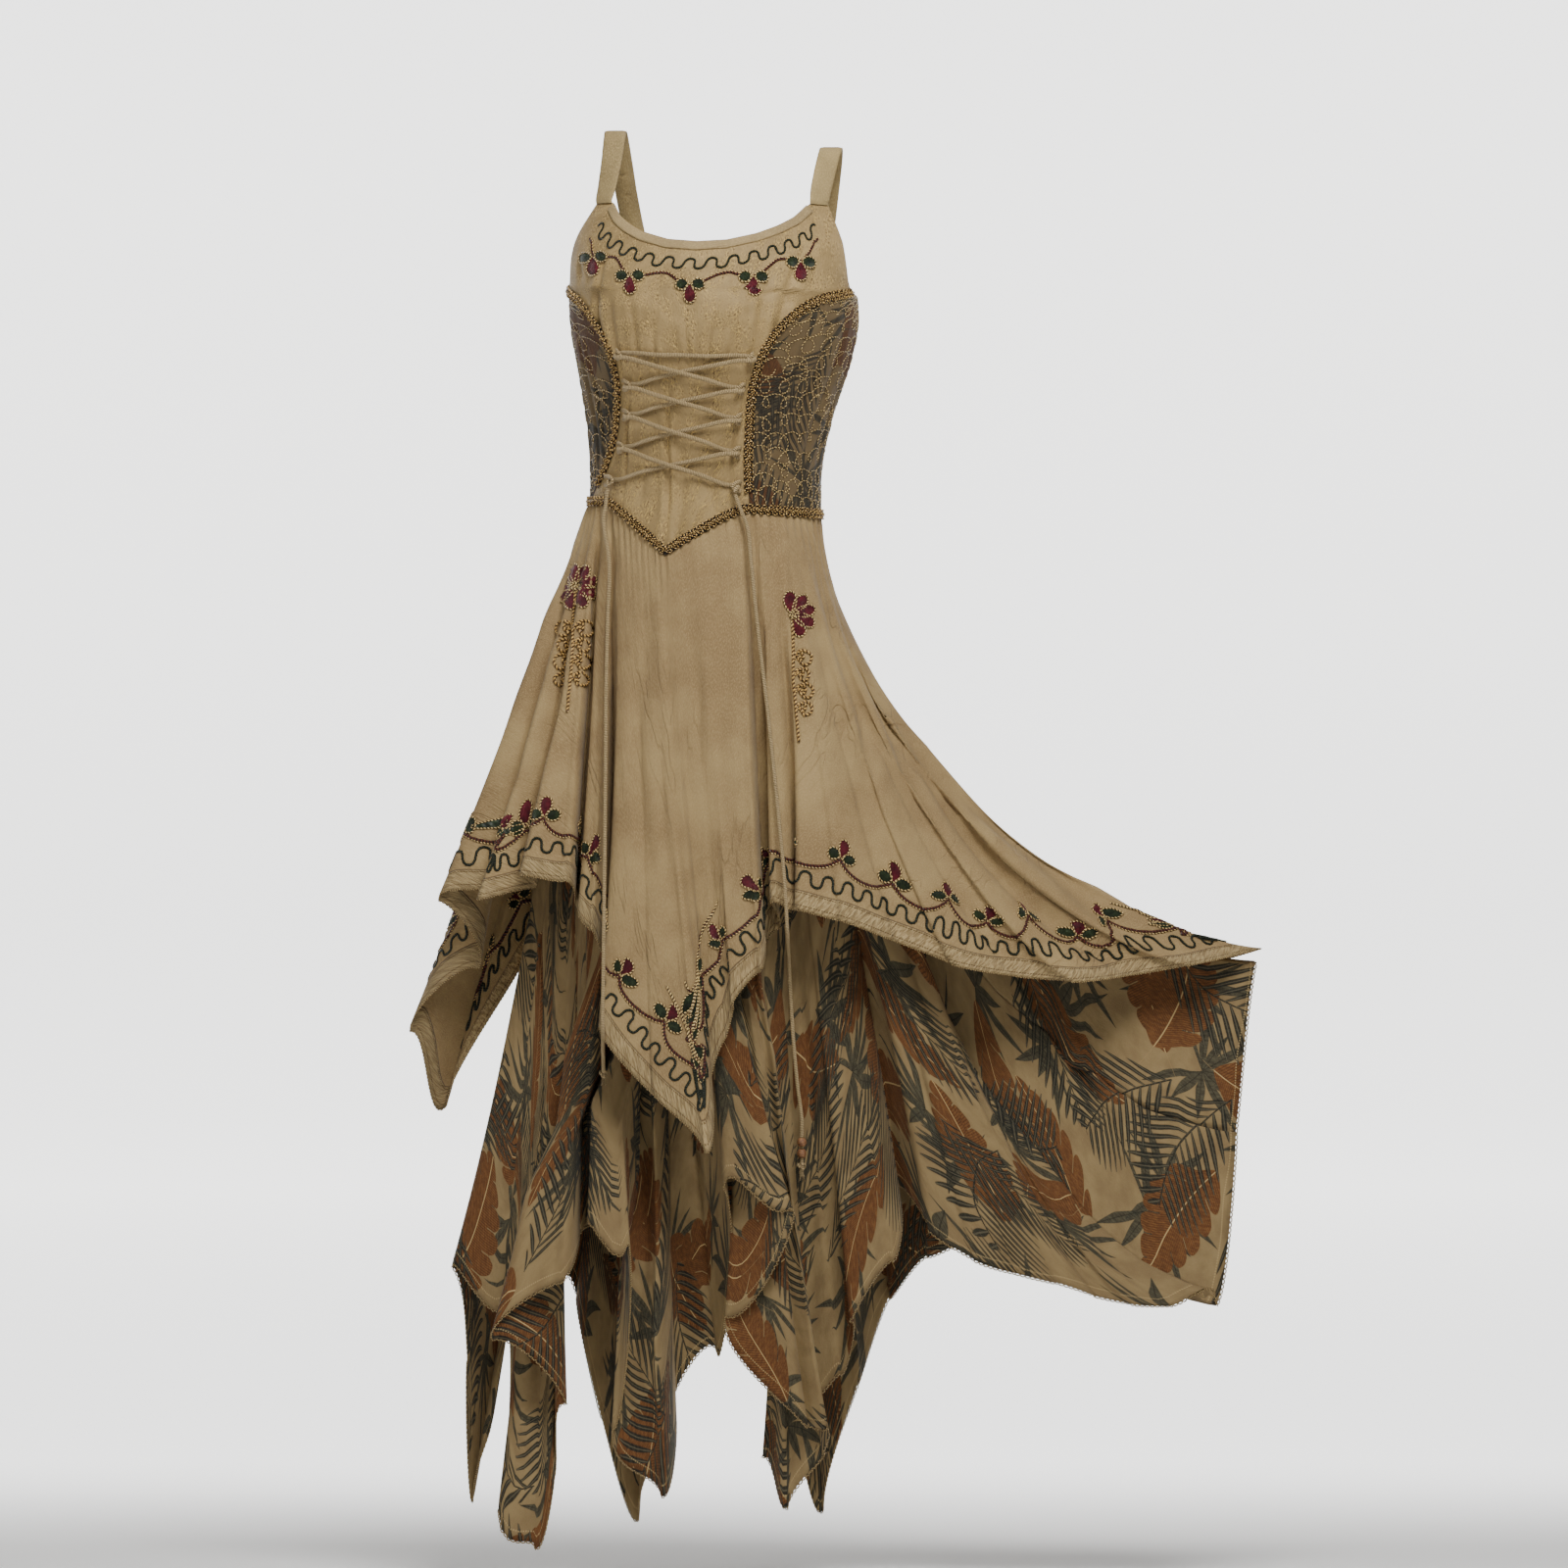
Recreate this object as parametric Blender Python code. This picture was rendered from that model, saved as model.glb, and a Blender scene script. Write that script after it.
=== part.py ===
"""Lace-up midi dress with a two-layer handkerchief hem, as it hangs on the body.

Every piece is a wall of cloth, or a trim or cord on it, at its real size. Tables are in millimetres
and degrees. The origin is half way between the tops of the two straps, where the shoulders hold the
dress up. +X is to the viewer's right, -Y towards the viewer and +Z up.
"""

import math
from collections import namedtuple

import bmesh
import bpy
import numpy as np

MM = 0.001

# Driving dimensions, in millimetres
CLOTH = 1.2
SEAM_GAP = 0.3
WAIST_DROP = 357
WAIST_POINT = 46
WAIST_POINT_ANGLE = -0.5
WAIST_POINT_HALF = 38
SIDE_SEAM = 112
TILT = 3.5
CUP = 7
CUP_ANGLE = 27
CUP_DROP = 165
STRAP_WIDTH = 21
STRAP_CLOTH = 1.8
LACE = 3.8
LOOP_TUBE = 2.2
BRAID_HALF_WIDTH = 4.2
BRAID_HALF_THICK = 1.5
BINDING_WIDTH = 9
BEAD = 9.5

# The body's sections. Each turns to the viewer's left and moves a little sideways, as the dress hangs.
Section = namedtuple("Section", "drop half_width front back turn centre")
SECTIONS = [
    Section(0, 120, 30, 45, 3, 7),
    Section(30, 122, 50, 66, 3, 4),
    Section(65, 126, 72, 84, 5, 0),
    Section(100, 136, 97, 96, 9, -2),
    Section(140, 140, 112, 102, 13, -2),
    Section(175, 141, 116, 100, 16, -1),
    Section(210, 135, 110, 95, 17.5, -2),
    Section(250, 125, 101, 88, 19, -5),
    Section(300, 116, 93, 82, 21, -8),
    Section(356, 115, 90, 82, 22, -9.5),
    Section(410, 120, 97, 92, 22, -10),
]

# The upper edge of the bodice: half the neckline, the strap's foot, the armhole and the back.
Edge = namedtuple("Edge", "angle drop")
NECKLINE = [Edge(0, 101), Edge(12, 99), Edge(24, 92), Edge(34, 83), Edge(42, 74), Edge(49, 62)]
BACK_EDGE = [Edge(112, 150), Edge(128, 145), Edge(142, 139), Edge(160, 137), Edge(180, 136)]

# The seam between the front and a side panel, from the waist up to the underarm, then the armhole.
Side = namedtuple("Side", "drop left right")
FRONT_SIDES = [
    Side(357, -62, 40), Side(340, -51, 39.5), Side(322, -42, 38.8), Side(304, -36, 38),
    Side(284, -32.5, 37), Side(260, -30.5, 35), Side(238, -30, 34), Side(218, -31.3, 34.3),
    Side(202, -33, 35.5), Side(188, -36.5, 38.5), Side(176, -42.5, 42.5), Side(166, -49, 47.5),
    Side(158, -56.5, 53.5), Side(152, -66, 61), Side(148, -78, 70), Side(145, -90, 84),
]
ARMHOLE = [
    Side(134, -84, 80), Side(116, -78.5, 77), Side(98, -74, 74), Side(80, -69, 69), Side(62, -63, 63),
]

# The skirts' folds, by where each leaves the waist and where it ends at the hem. Spread and fall say
# how a pulled-out fold curves: 1 and 1 is a straight one.
Fold = namedtuple("Fold", "angle across towards drop spread fall")
OVERSKIRT = [
    Fold(-84, -296, -20, 862, 0.88, 1), Fold(-78, -229, 5, 800, 0.9, 1), Fold(-70, -267, 35, 734, 0.9, 1),
    Fold(-64, -218, 45, 722, 1, 1), Fold(-60, -229, 75, 733, 1, 1), Fold(-54.5, -176, 62, 722, 1, 1),
    Fold(-51, -188, 98, 709, 1, 1), Fold(-48, -143, 106, 714, 1, 1), Fold(-45, -135, 55, 735, 1, 1),
    Fold(-42, -131, 96, 748, 1, 1), Fold(-39, -118, 104, 761, 1, 1), Fold(-36, -96, 62, 800, 1, 1),
    Fold(-33, -111, 122, 853, 1, 1), Fold(-20, -60, 139, 917, 1, 1), Fold(-4, -9, 143, 975, 1, 1),
    Fold(1, -4, 119, 905, 1, 1), Fold(8, 10, 117, 866, 1, 1), Fold(14, 16, 127, 833, 1, 1),
    Fold(36, 43, 133, 802, 1, 1), Fold(39, 47, 86, 777, 1, 1), Fold(42, 62, 84, 761, 1, 1),
    Fold(45, 53, 117, 735, 1, 1), Fold(49, 71, 116, 741, 1, 1), Fold(52.5, 82, 98, 743, 1, 1),
    Fold(56, 77, 124, 741, 1, 1), Fold(61, 120, 126, 752, 1.1, 1), Fold(66, 172, 106, 772, 1.2, 1.05),
    Fold(72, 228, 110, 795, 1.3, 1.1), Fold(79, 286, 84, 806, 1.4, 1.15), Fold(86, 343, 92, 812, 1.5, 1.2),
    Fold(93, 400, 56, 806, 1.55, 1.3), Fold(99, 455, 56, 797, 1.6, 1.35), Fold(106, 527, 22, 781, 1.6, 1.4),
    Fold(114, 470, -18, 800, 1.6, 1.35), Fold(121, 395, -52, 815, 1.5, 1.3), Fold(128, 330, -40, 800, 1.4, 1.2),
    Fold(135, 262, -78, 790, 1.3, 1.1), Fold(142, 205, -62, 770, 1.2, 1), Fold(149, 160, -108, 760, 1.1, 1),
    Fold(156, 112, -84, 780, 1, 1), Fold(163, 80, -128, 810, 1, 1), Fold(170, 44, -104, 860, 1, 1),
    Fold(178, 6, -140, 975, 1, 1), Fold(186, -34, -108, 900, 1, 1), Fold(194, -66, -134, 830, 1, 1),
    Fold(203, -104, -98, 770, 1, 1), Fold(212, -136, -124, 735, 1, 1), Fold(222, -160, -84, 735, 1, 1),
    Fold(232, -186, -104, 745, 1, 1), Fold(244, -186, -62, 790, 1, 1), Fold(262, -262, -66, 935, 0.92, 1),
]
UNDERSKIRT = [
    Fold(-80, -255, 0, 1088, 1, 1), Fold(-74, -203, 22, 1120, 1, 1), Fold(-70, -209, 50, 1322, 1, 1),
    Fold(-67, -173, 46, 1360, 1, 1), Fold(-64, -155, 40, 1290, 1, 1), Fold(-61, -143, 60, 1219, 1, 1),
    Fold(-58, -214, 85, 1156, 1, 1), Fold(-52, -148, 97, 1101, 1, 1), Fold(-47, -131, 36, 1056, 1, 1),
    Fold(-43, -122, 88, 1042, 1, 1), Fold(-38, -83, 98, 1062, 1, 1), Fold(-33, -99, 70, 1244, 1, 1),
    Fold(-26, -51, 88, 1307, 1, 1), Fold(-20, -42, 25, 1217, 1, 1), Fold(-10, 3, 20, 1175, 1, 1),
    Fold(-4, 8, 96, 1008, 1, 1), Fold(6, 74, 112, 1028, 1, 1), Fold(12, 10, 74, 1134, 1, 1),
    Fold(20, 78, 88, 1228, 1, 1), Fold(23, 84, 70, 1236, 1, 1), Fold(26, 109, 88, 1241, 1, 1),
    Fold(29, 106, 66, 1265, 1, 1), Fold(32, 70, 58, 1320, 1, 1), Fold(36, 46, 40, 1271, 1, 1),
    Fold(40, 90, 24, 1225, 1, 1), Fold(44, 122, 28, 1193, 1, 1), Fold(48, 130, 52, 1140, 1, 1),
    Fold(53, 172, 38, 1083, 1, 1), Fold(57, 176, 8, 1012, 1, 1), Fold(62, 206, 48, 1052, 1.1, 1),
    Fold(70, 250, 56, 1081, 1.2, 1), Fold(76, 290, 44, 1094, 1.3, 1), Fold(82, 330, 50, 1103, 1.4, 1),
    Fold(88, 366, 38, 1116, 1.5, 1.1), Fold(93, 402, 42, 1124, 1.55, 1.15), Fold(98, 440, 32, 1126, 1.6, 1.2),
    Fold(102, 484, 28, 1126, 1.6, 1.3), Fold(105, 503, 21, 960, 1.6, 1.33),
    Fold(108, 522, 12, 797, 1.62, 1.36), Fold(111, 496, -4, 900, 1.6, 1.33), Fold(114, 470, -16, 1000, 1.6, 1.3), Fold(119, 400, -30, 1060, 1.5, 1.2), Fold(125, 330, -24, 1040, 1.4, 1.1),
    Fold(131, 260, -52, 1060, 1.3, 1), Fold(137, 205, -36, 1080, 1.2, 1), Fold(143, 170, -80, 1120, 1.1, 1),
    Fold(149, 140, -50, 1200, 1, 1), Fold(155, 105, -85, 1330, 1, 1), Fold(161, 80, -48, 1240, 1, 1),
    Fold(167, 50, -90, 1150, 1, 1), Fold(173, 15, -60, 1080, 1, 1), Fold(180, -20, -95, 1110, 1, 1),
    Fold(187, -45, -58, 1230, 1, 1), Fold(195, -75, -88, 1340, 1, 1), Fold(203, -110, -50, 1240, 1, 1),
    Fold(211, -135, -84, 1120, 1, 1), Fold(219, -165, -48, 1060, 1, 1), Fold(228, -195, -72, 1100, 1, 1),
    Fold(237, -215, -38, 1230, 1, 1), Fold(246, -236, -48, 1320, 1, 1), Fold(260, -240, -20, 1180, 1, 1),
]

# Cord routes. Loops and the crossed lace are placed on the bodice by drop, angle and height off the
# cloth; the free ends hang by points across the front, with how far they stand off the cloth.
Loop = namedtuple("Loop", "drop left right")
LOOPS = [Loop(211, -25.8, 30), Loop(241, -22, 28.2), Loop(270, -22.5, 29.5), Loop(302, -26.2, 31),
         Loop(335, -33.5, 32)]
UNDER, TURN, OVER, TOP_CROSS, LOW_CROSS = 3.1, 6.5, 9.9, 8.8, 4.0

Over = namedtuple("Over", "angle drop high")
Hang = namedtuple("Hang", "across drop clear")
LEFT_OVER = [Over(-33.8, 347, 10), Over(-34.3, 358, 10), Over(-35, 374, 9.6)]
LEFT_END = [Hang(-101.5, 410, 6), Hang(-103, 460, 5), Hang(-104.5, 527, 4), Hang(-105, 600, 4),
            Hang(-105.5, 680, 5), Hang(-106, 740, 6), Hang(-106.5, 800, 7), Hang(-107, 850, 7), Hang(-107, 900, 7)]
RIGHT_OVER = [Over(33, 348, 10), Over(35, 358, 10), Over(38, 374, 9.6)]
RIGHT_END = [Hang(35, 410, 7), Hang(39, 450, 6), Hang(44, 495, 6), Hang(50, 545, 6), Hang(56, 600, 6),
             Hang(62, 660, 7), Hang(67, 715, 8), Hang(69.5, 760, 8), Hang(72, 810, 8), Hang(75, 862, 8),
             Hang(79.5, 913, 8), Hang(82.5, 945, 8), Hang(83.5, 960, 8), Hang(83.5, 990, 8)]
BEADS = [967, 978]

# The straps: their middle line over the shoulder, and how the width lies in plan.
Rest = namedtuple("Rest", "across towards rise lie")
STRAPS = {
    "left": [Rest(-106.9, 30.9, -60.5, 45), Rest(-106.8, 30.9, -56, 42), Rest(-104, 30, -44, 34), Rest(-100, 24, -20, 22),
             Rest(-97.5, 12, 2, 10), Rest(-96.5, 0, 9, 4), Rest(-95, -16, 4, -3), Rest(-91, -40, -20, -8),
             Rest(-86, -62, -52, -12), Rest(-78, -82, -92, -15), Rest(-69, -96.4, -130, -17), Rest(-68, -97.6, -136.3, -17)],
    "right": [Rest(100.1, 48.3, -62.7, 35), Rest(100.4, 48, -58, 34), Rest(102, 42.5, -48, 28), Rest(106, 31, -30, 20),
              Rest(110.5, 14, -12, 10), Rest(112.5, 0, -7, 2), Rest(113, -18, -12, -8), Rest(111, -38, -34, -20),
              Rest(108, -50, -66, -30), Rest(104, -56, -104, -38), Rest(100.3, -58.8, -134, -43),
              Rest(99.9, -59, -140.4, -43)],
}


def smooth(knots, values, where):
    """A smooth curve through a table's values, read at one or more places."""
    knots, values = np.asarray(knots, float), np.asarray(values, float)
    where = np.clip(np.asarray(where, float), knots[0], knots[-1])
    slope = np.gradient(values, knots)
    i = np.clip(np.searchsorted(knots, where, side="right") - 1, 0, len(knots) - 2)
    step = knots[i + 1] - knots[i]
    t = (where - knots[i]) / step
    return ((2 * t**3 - 3 * t**2 + 1) * values[i] + (t**3 - 2 * t**2 + t) * step * slope[i]
            + (3 * t**2 - 2 * t**3) * values[i + 1] + (t**3 - t**2) * step * slope[i + 1])


def column(table, name):
    """One named column of a table."""
    return [getattr(row, name) for row in table]


def body(angle, drop, out=0.0):
    """Points of the worn body's surface, by angle from the front centre, drop and height off it."""
    angle, drop, out = np.broadcast_arrays(np.asarray(angle, float), np.asarray(drop, float), out)
    drops = column(SECTIONS, "drop")
    half, front, back, turn, centre = (smooth(drops, column(SECTIONS, name), drop)
                                       for name in ("half_width", "front", "back", "turn", "centre"))
    a, turn = np.radians(angle), np.radians(turn)
    cup = CUP * np.exp(-((np.abs(angle) - CUP_ANGLE) / 15) ** 2 - ((drop - CUP_DROP) / 42) ** 2)
    depth = np.where(np.cos(a) > 0, front, back)
    across = (half + out + cup) * np.sin(a)
    along = -(depth + out + cup) * np.cos(a)
    x = across * np.cos(turn) + along * np.sin(turn) + centre
    y = -across * np.sin(turn) + along * np.cos(turn)
    return np.stack([x, y, -drop - x * math.tan(math.radians(TILT)) * drop / 356], axis=-1)


def waist_drop(angle):
    """The drop of the waist seam, which dips to a point in the front."""
    near = np.clip(1 - np.abs(np.asarray(angle, float) - WAIST_POINT_ANGLE) / WAIST_POINT_HALF, 0, 1)
    return WAIST_DROP + WAIST_POINT * near**1.25


def solid(name, vertices, faces):
    """One closed node from its points and faces, with the faces turned outwards."""
    mesh = bpy.data.meshes.new(name)
    mesh.from_pydata([tuple(float(c) * MM for c in v) for v in vertices], [], faces)
    shape = bmesh.new()
    shape.from_mesh(mesh)
    bmesh.ops.triangulate(shape, faces=shape.faces[:])
    bmesh.ops.recalc_face_normals(shape, faces=shape.faces[:])
    if shape.calc_volume(signed=True) < 0:
        bmesh.ops.reverse_faces(shape, faces=shape.faces[:])
    shape.to_mesh(mesh)
    shape.free()
    node = bpy.data.objects.new(name, mesh)
    bpy.context.scene.collection.objects.link(node)
    return node


def wall(name, outer, inner):
    """A piece of cloth: two grids of points, its faces and the four cut edges."""
    rows, cols = outer.shape[:2]
    count = rows * cols
    faces = []
    for r in range(rows - 1):
        for c in range(cols - 1):
            a, b, d, e = r * cols + c, r * cols + c + 1, (r + 1) * cols + c + 1, (r + 1) * cols + c
            across = np.linalg.norm(outer[r, c] - outer[r + 1, c + 1]) < np.linalg.norm(outer[r, c + 1] - outer[r + 1, c])
            for face in ((a, b, d), (a, d, e)) if across else ((a, b, e), (b, d, e)):
                faces += [face, tuple(count + k for k in reversed(face))]
    edge = ([c for c in range(cols)] + [r * cols + cols - 1 for r in range(1, rows)]
            + [(rows - 1) * cols + c for c in range(cols - 2, -1, -1)] + [r * cols for r in range(rows - 2, 0, -1)])
    for a, b in zip(edge, edge[1:] + edge[:1]):
        faces.append((b, a, count + a, count + b))
    return solid(name, np.concatenate([outer.reshape(-1, 3), inner.reshape(-1, 3)]), faces)


def sweep(name, centre, across, out, profile):
    """A trim: a closed outline carried along a line, with its ends closed."""
    ring = len(profile)
    points = [c + a * u + o * w for c, a, o in zip(centre, across, out) for u, w in profile]
    faces = [tuple(reversed(range(ring))), tuple((len(centre) - 1) * ring + k for k in range(ring))]
    for s in range(len(centre) - 1):
        for k in range(ring):
            n = (k + 1) % ring
            faces.append((s * ring + k, s * ring + n, (s + 1) * ring + n, (s + 1) * ring + k))
    return solid(name, points, faces)


def unit(vectors):
    """The same vectors at length one."""
    return vectors / np.maximum(np.linalg.norm(vectors, axis=-1, keepdims=True), 1e-9)


def route(points, step):
    """A smooth curve through route points, read about every step."""
    points = np.asarray(points, float)
    lengths = np.concatenate([[0], np.cumsum(np.linalg.norm(np.diff(points, axis=0), axis=1) ** 0.75)])
    count = max(2, int(round(np.linalg.norm(np.diff(points, axis=0), axis=1).sum() / step)) + 1)
    fine = np.stack([smooth(lengths, points[:, k], np.linspace(0, lengths[-1], 40 * count)) for k in range(3)], axis=1)
    run = np.concatenate([[0], np.cumsum(np.linalg.norm(np.diff(fine, axis=0), axis=1))])
    return np.stack([np.interp(np.linspace(0, run[-1], count), run, fine[:, k]) for k in range(3)], axis=1)


def tube(name, points, diameter, resolution=2):
    """A cord through points, as a round tube with closed ends."""
    curve = bpy.data.curves.new(name, "CURVE")
    curve.dimensions = "3D"
    curve.bevel_depth = diameter / 2 * MM
    curve.bevel_resolution = resolution
    curve.use_fill_caps = True
    curve.render_resolution_u = 0
    line = curve.splines.new("POLY")
    line.points.add(len(points) - 1)
    for knot, point in zip(line.points, points):
        knot.co = (*[float(c) * MM for c in point], 1)
    node = bpy.data.objects.new(name, curve)
    bpy.context.scene.collection.objects.link(node)
    return node


def off_body(angle, drop, height):
    """Points that stand straight off the body's surface by a height."""
    across = body(angle + 0.5, drop) - body(angle - 0.5, drop)
    down = body(angle, drop + 1.0) - body(angle, drop - 1.0)
    return body(angle, drop) + unit(np.cross(down, across)) * height


def panel(name, angle, drop):
    """A piece of the bodice between the angles and drops of its grid."""
    wall(name, body(angle, drop, CLOTH / 2), body(angle, drop, -CLOTH / 2))


def side_angles(drops, which):
    """The angle of the front's edge, at the armhole and then at the seam below it."""
    table = sorted(FRONT_SIDES + ARMHOLE)
    return np.interp(drops, column(table, "drop"), column(table, which))


def build_bodice():
    """The front, the two side panels and the plain back."""
    rows = np.array(sorted({row.drop for row in FRONT_SIDES + ARMHOLE}), float)
    part = np.linspace(0, 1, 17)
    gap = math.degrees(SEAM_GAP / 2 / 115)
    left, right = side_angles(rows, "left") + gap, side_angles(rows, "right") - gap
    angle = left[:, None] + (right - left)[:, None] * part
    upper = np.clip((145 - rows) / (145 - rows[0]), 0, 1)[:, None]
    lower = np.clip((rows - 200) / (WAIST_DROP - 200), 0, 1)[:, None]
    top = np.interp(np.abs(63 * (2 * part - 1)), column(NECKLINE, "angle"), column(NECKLINE, "drop"))
    bottom = waist_drop(angle[-1])
    panel("front_bodice", angle, rows[:, None] + (top - rows[0]) * upper + (bottom - WAIST_DROP) * lower)

    low = np.array(sorted(row.drop for row in FRONT_SIDES), float)
    seam_top = BACK_EDGE[0].drop
    for name, sign in (("left", -1), ("right", 1)):
        start = side_angles(low, name) + sign * gap
        across = np.linspace(0, 1, 6)
        angle = start[:, None] + (sign * (SIDE_SEAM - gap) - start)[:, None] * across
        level = WAIST_DROP - (WAIST_DROP - low)[:, None] * (
            1 + across * ((WAIST_DROP - seam_top) / (WAIST_DROP - low[0]) - 1))
        level = level + (waist_drop(angle) - WAIST_DROP) * (low == low[-1])[:, None]
        panel(f"side_panel_{name}", angle, level + SEAM_GAP / 2 * (1 - across) * (low < 165)[:, None])
    angle = np.linspace(SIDE_SEAM + gap, 360 - SIDE_SEAM - gap, 15)
    top = np.interp(180 - np.abs(180 - angle), column(BACK_EDGE, "angle"), column(BACK_EDGE, "drop"))
    share = np.linspace(0, 1, 10)[:, None]
    panel("back_bodice", np.broadcast_to(angle, (10, 15)), top + share * (WAIST_DROP - top))


def build_straps():
    """Two straps, from the front's upper corners over the shoulders to the back."""
    edge = [(-STRAP_WIDTH / 2, 0), (STRAP_WIDTH / 2, 0), (STRAP_WIDTH / 2, STRAP_CLOTH), (-STRAP_WIDTH / 2, STRAP_CLOTH)]
    for name, rests in STRAPS.items():
        steps = np.arange(len(rests))
        fine = np.linspace(0, steps[-1], 25)
        line = np.stack([smooth(steps, column(rests, "across"), fine), -smooth(steps, column(rests, "towards"), fine),
                         smooth(steps, column(rests, "rise"), fine)], axis=1)
        lie = np.radians(smooth(steps, column(rests, "lie"), fine))
        side = 1 if name == "right" else -1
        across = np.stack([np.cos(lie) * side, np.sin(lie), 0 * lie], axis=1)
        along = unit(np.gradient(line, axis=0))
        across = unit(across - along * np.sum(across * along, axis=1, keepdims=True))
        out = np.cross(along, across) * side
        sweep(f"strap_{name}", line, across, -out, edge)


def on_bodice(name, angle, drop, profile):
    """A trim laid on the bodice along a line of angles and drops."""
    centre = body(angle, drop)
    out = unit(off_body(angle, drop, 1.0) - centre)
    along = unit(np.gradient(centre, axis=0))
    sweep(name, centre, unit(np.cross(along, out)), out, profile)


def flat(half, low, high, corner):
    """The outline of a flat trim with softened corners."""
    return [(-half, low), (half, low), (half, high - corner), (half - corner, high), (-half + corner, high),
            (-half, high - corner)]


def build_trims():
    """The neck binding and the braids along the front's seams and round the waist."""
    angle = np.linspace(-49, 49, 25)
    drop = np.interp(np.abs(angle), column(NECKLINE, "angle"), column(NECKLINE, "drop")) + BINDING_WIDTH / 2 + 0.5
    on_bodice("neck_binding", angle, drop, flat(BINDING_WIDTH / 2, 1.6, 2.8, 0.4))
    braid = flat(BRAID_HALF_WIDTH, 1.7, 1.7 + 2 * BRAID_HALF_THICK, 1.0)
    rows = [row for row in sorted(FRONT_SIDES) if 148 <= row.drop <= 340]
    for name in ("left", "right"):
        on_bodice(f"braid_{name}", np.array(column(rows, name), float), np.array(column(rows, "drop"), float), braid)
    angle = np.concatenate([np.linspace(-180, -45, 22)[:-1], np.linspace(-45, 39, 27), np.linspace(39, 179, 23)[1:]])
    on_bodice("braid_waist", angle[:-1], waist_drop(angle[:-1]) - 1.5,
              flat(BRAID_HALF_WIDTH, 2.1, 2.1 + 2 * BRAID_HALF_THICK, 1.0))


def build_lacing():
    """The loops along both braids and the lace that crosses between them."""
    for name, sign in (("left", -1), ("right", 1)):
        for number, loop in enumerate(LOOPS, 1):
            tip = getattr(loop, name)
            root = sign * (np.abs(side_angles(loop.drop + np.array([-6, 0, 6]), name)).min() - 3.8) - tip
            bend = [(root, -4.9, 2.6), (root * 0.4, -5.0, 5.4), (0, -3.0, 6.5), (-sign * 0.9, 0, 6.5),
                    (0, 3.0, 6.5), (root * 0.4, 5.0, 5.4), (root, 4.9, 2.6)]
            tube(f"lace_loop_{name}_{number}", [off_body(tip + turn, loop.drop + down, high) for turn, down, high in bend],
                 LOOP_TUBE)
    points, _, _ = lacing_route()
    tube("lacing", points, LACE)


def lacing_route():
    """Points of the crossed lace between the two lowest loops, and where each end leaves it."""
    halves = []
    for start in ("left", "right"):
        points = []
        for number, loop in enumerate(LOOPS):
            side = start if number % 2 == 0 else {"left": "right", "right": "left"}[start]
            sign = -1 if side == "left" else 1
            tip = getattr(loop, side)
            points += [off_body(tip - sign * 4.5, loop.drop - 1.5, UNDER), off_body(tip + sign * 0.5, loop.drop - 0.8, UNDER),
                       off_body(tip + sign * 1.7, loop.drop, TURN)]
            if number == len(LOOPS) - 1:
                points += [off_body(tip + sign * 0.6, loop.drop + 1.5, OVER), off_body(tip - sign * 0.3, loop.drop + 6, OVER - 0.3)]
                continue
            points += [off_body(tip + sign * 0.5, loop.drop + 0.8, OVER), off_body(tip - sign * 4.5, loop.drop + 1.5, OVER)]
            after = LOOPS[number + 1]
            far = getattr(after, "right" if side == "left" else "left")
            cross = TOP_CROSS if side == "left" else LOW_CROSS
            for share in (0.27, 0.5, 0.73):
                level = cross if share == 0.5 else (OVER * (1 - share) + UNDER * share + cross) / 2
                points.append(off_body(tip + (far - tip) * share, loop.drop + (after.drop - loop.drop) * share, level))
        halves.append(points)
    bar = [off_body(LOOPS[0].left * (1 - s) + LOOPS[0].right * s, LOOPS[0].drop, UNDER + 0.8) for s in (0.3, 0.5, 0.7)]
    return halves[0][::-1] + bar + halves[1], halves[0][-1], halves[1][-1]


def spacing(folds, pitch):
    """How many columns of points each fold gets before the next one."""
    angle = np.array(column(folds, "angle"), float)
    gap = np.append(np.diff(angle), 360 + angle[0] - angle[-1])
    return np.maximum(1, np.round(gap / pitch)).astype(int)


def between(values, counts, bow=0.7):
    """Values with smooth ones put between them, round the closed hem."""
    values = np.asarray(values, float)
    before, after, last = np.roll(values, 1), np.roll(values, -1), np.roll(values, -2)
    result = []
    for a, b, c, d, count in zip(before, values, after, last, counts):
        for t in np.arange(count) / count:
            lift = t * (1 - t) * ((1 - t) * (b - a) + t * (d - c) - (1 - 2 * t) * (c - b))
            result.append(b * (1 - t) + c * t + lift * bow)
    return np.array(result)


def skirt(folds, inset, pitch, rows, late):
    """The middle surface of a skirt: a grid from the waist seam to the hem, all the way round."""
    counts = spacing(folds, pitch)
    angle = np.array(column(folds, "angle"), float)
    gap = np.append(np.diff(angle), 360 + angle[0] - angle[-1])
    steps = np.concatenate([a + g * np.arange(n) / n for a, g, n in zip(angle, gap, counts)])
    top = body(steps, waist_drop(steps) + 1.6, -inset)
    v = rows[:, None]
    spread, fall = between(column(folds, "spread"), counts), between(column(folds, "fall"), counts)
    plan, down = v**spread, 1 - (1 - v) ** fall
    place = []
    for k, name, sign in ((0, "across", 1), (1, "towards", -1)):
        edge = np.array(column(folds, name), float) * sign
        soft = sum(np.roll(edge, shift) * weight for shift, weight in zip(range(-3, 4), (1, 2, 3, 4, 3, 2, 1))) / 16
        base = between(soft, counts)
        fold = between(edge, counts) - base
        place.append(top[:, k] + (base - top[:, k]) * plan + fold * v ** late[k])
    z = between(column(folds, "drop"), counts)
    return np.stack([*place, top[:, 2] + (-z - top[:, 2]) * down], axis=-1)


WAIST_CENTRE = np.array([-9.5, 0.0])
OVER_LATE = (2, 1)
UNDER_LATE = (3.5, 1.6)


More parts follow.
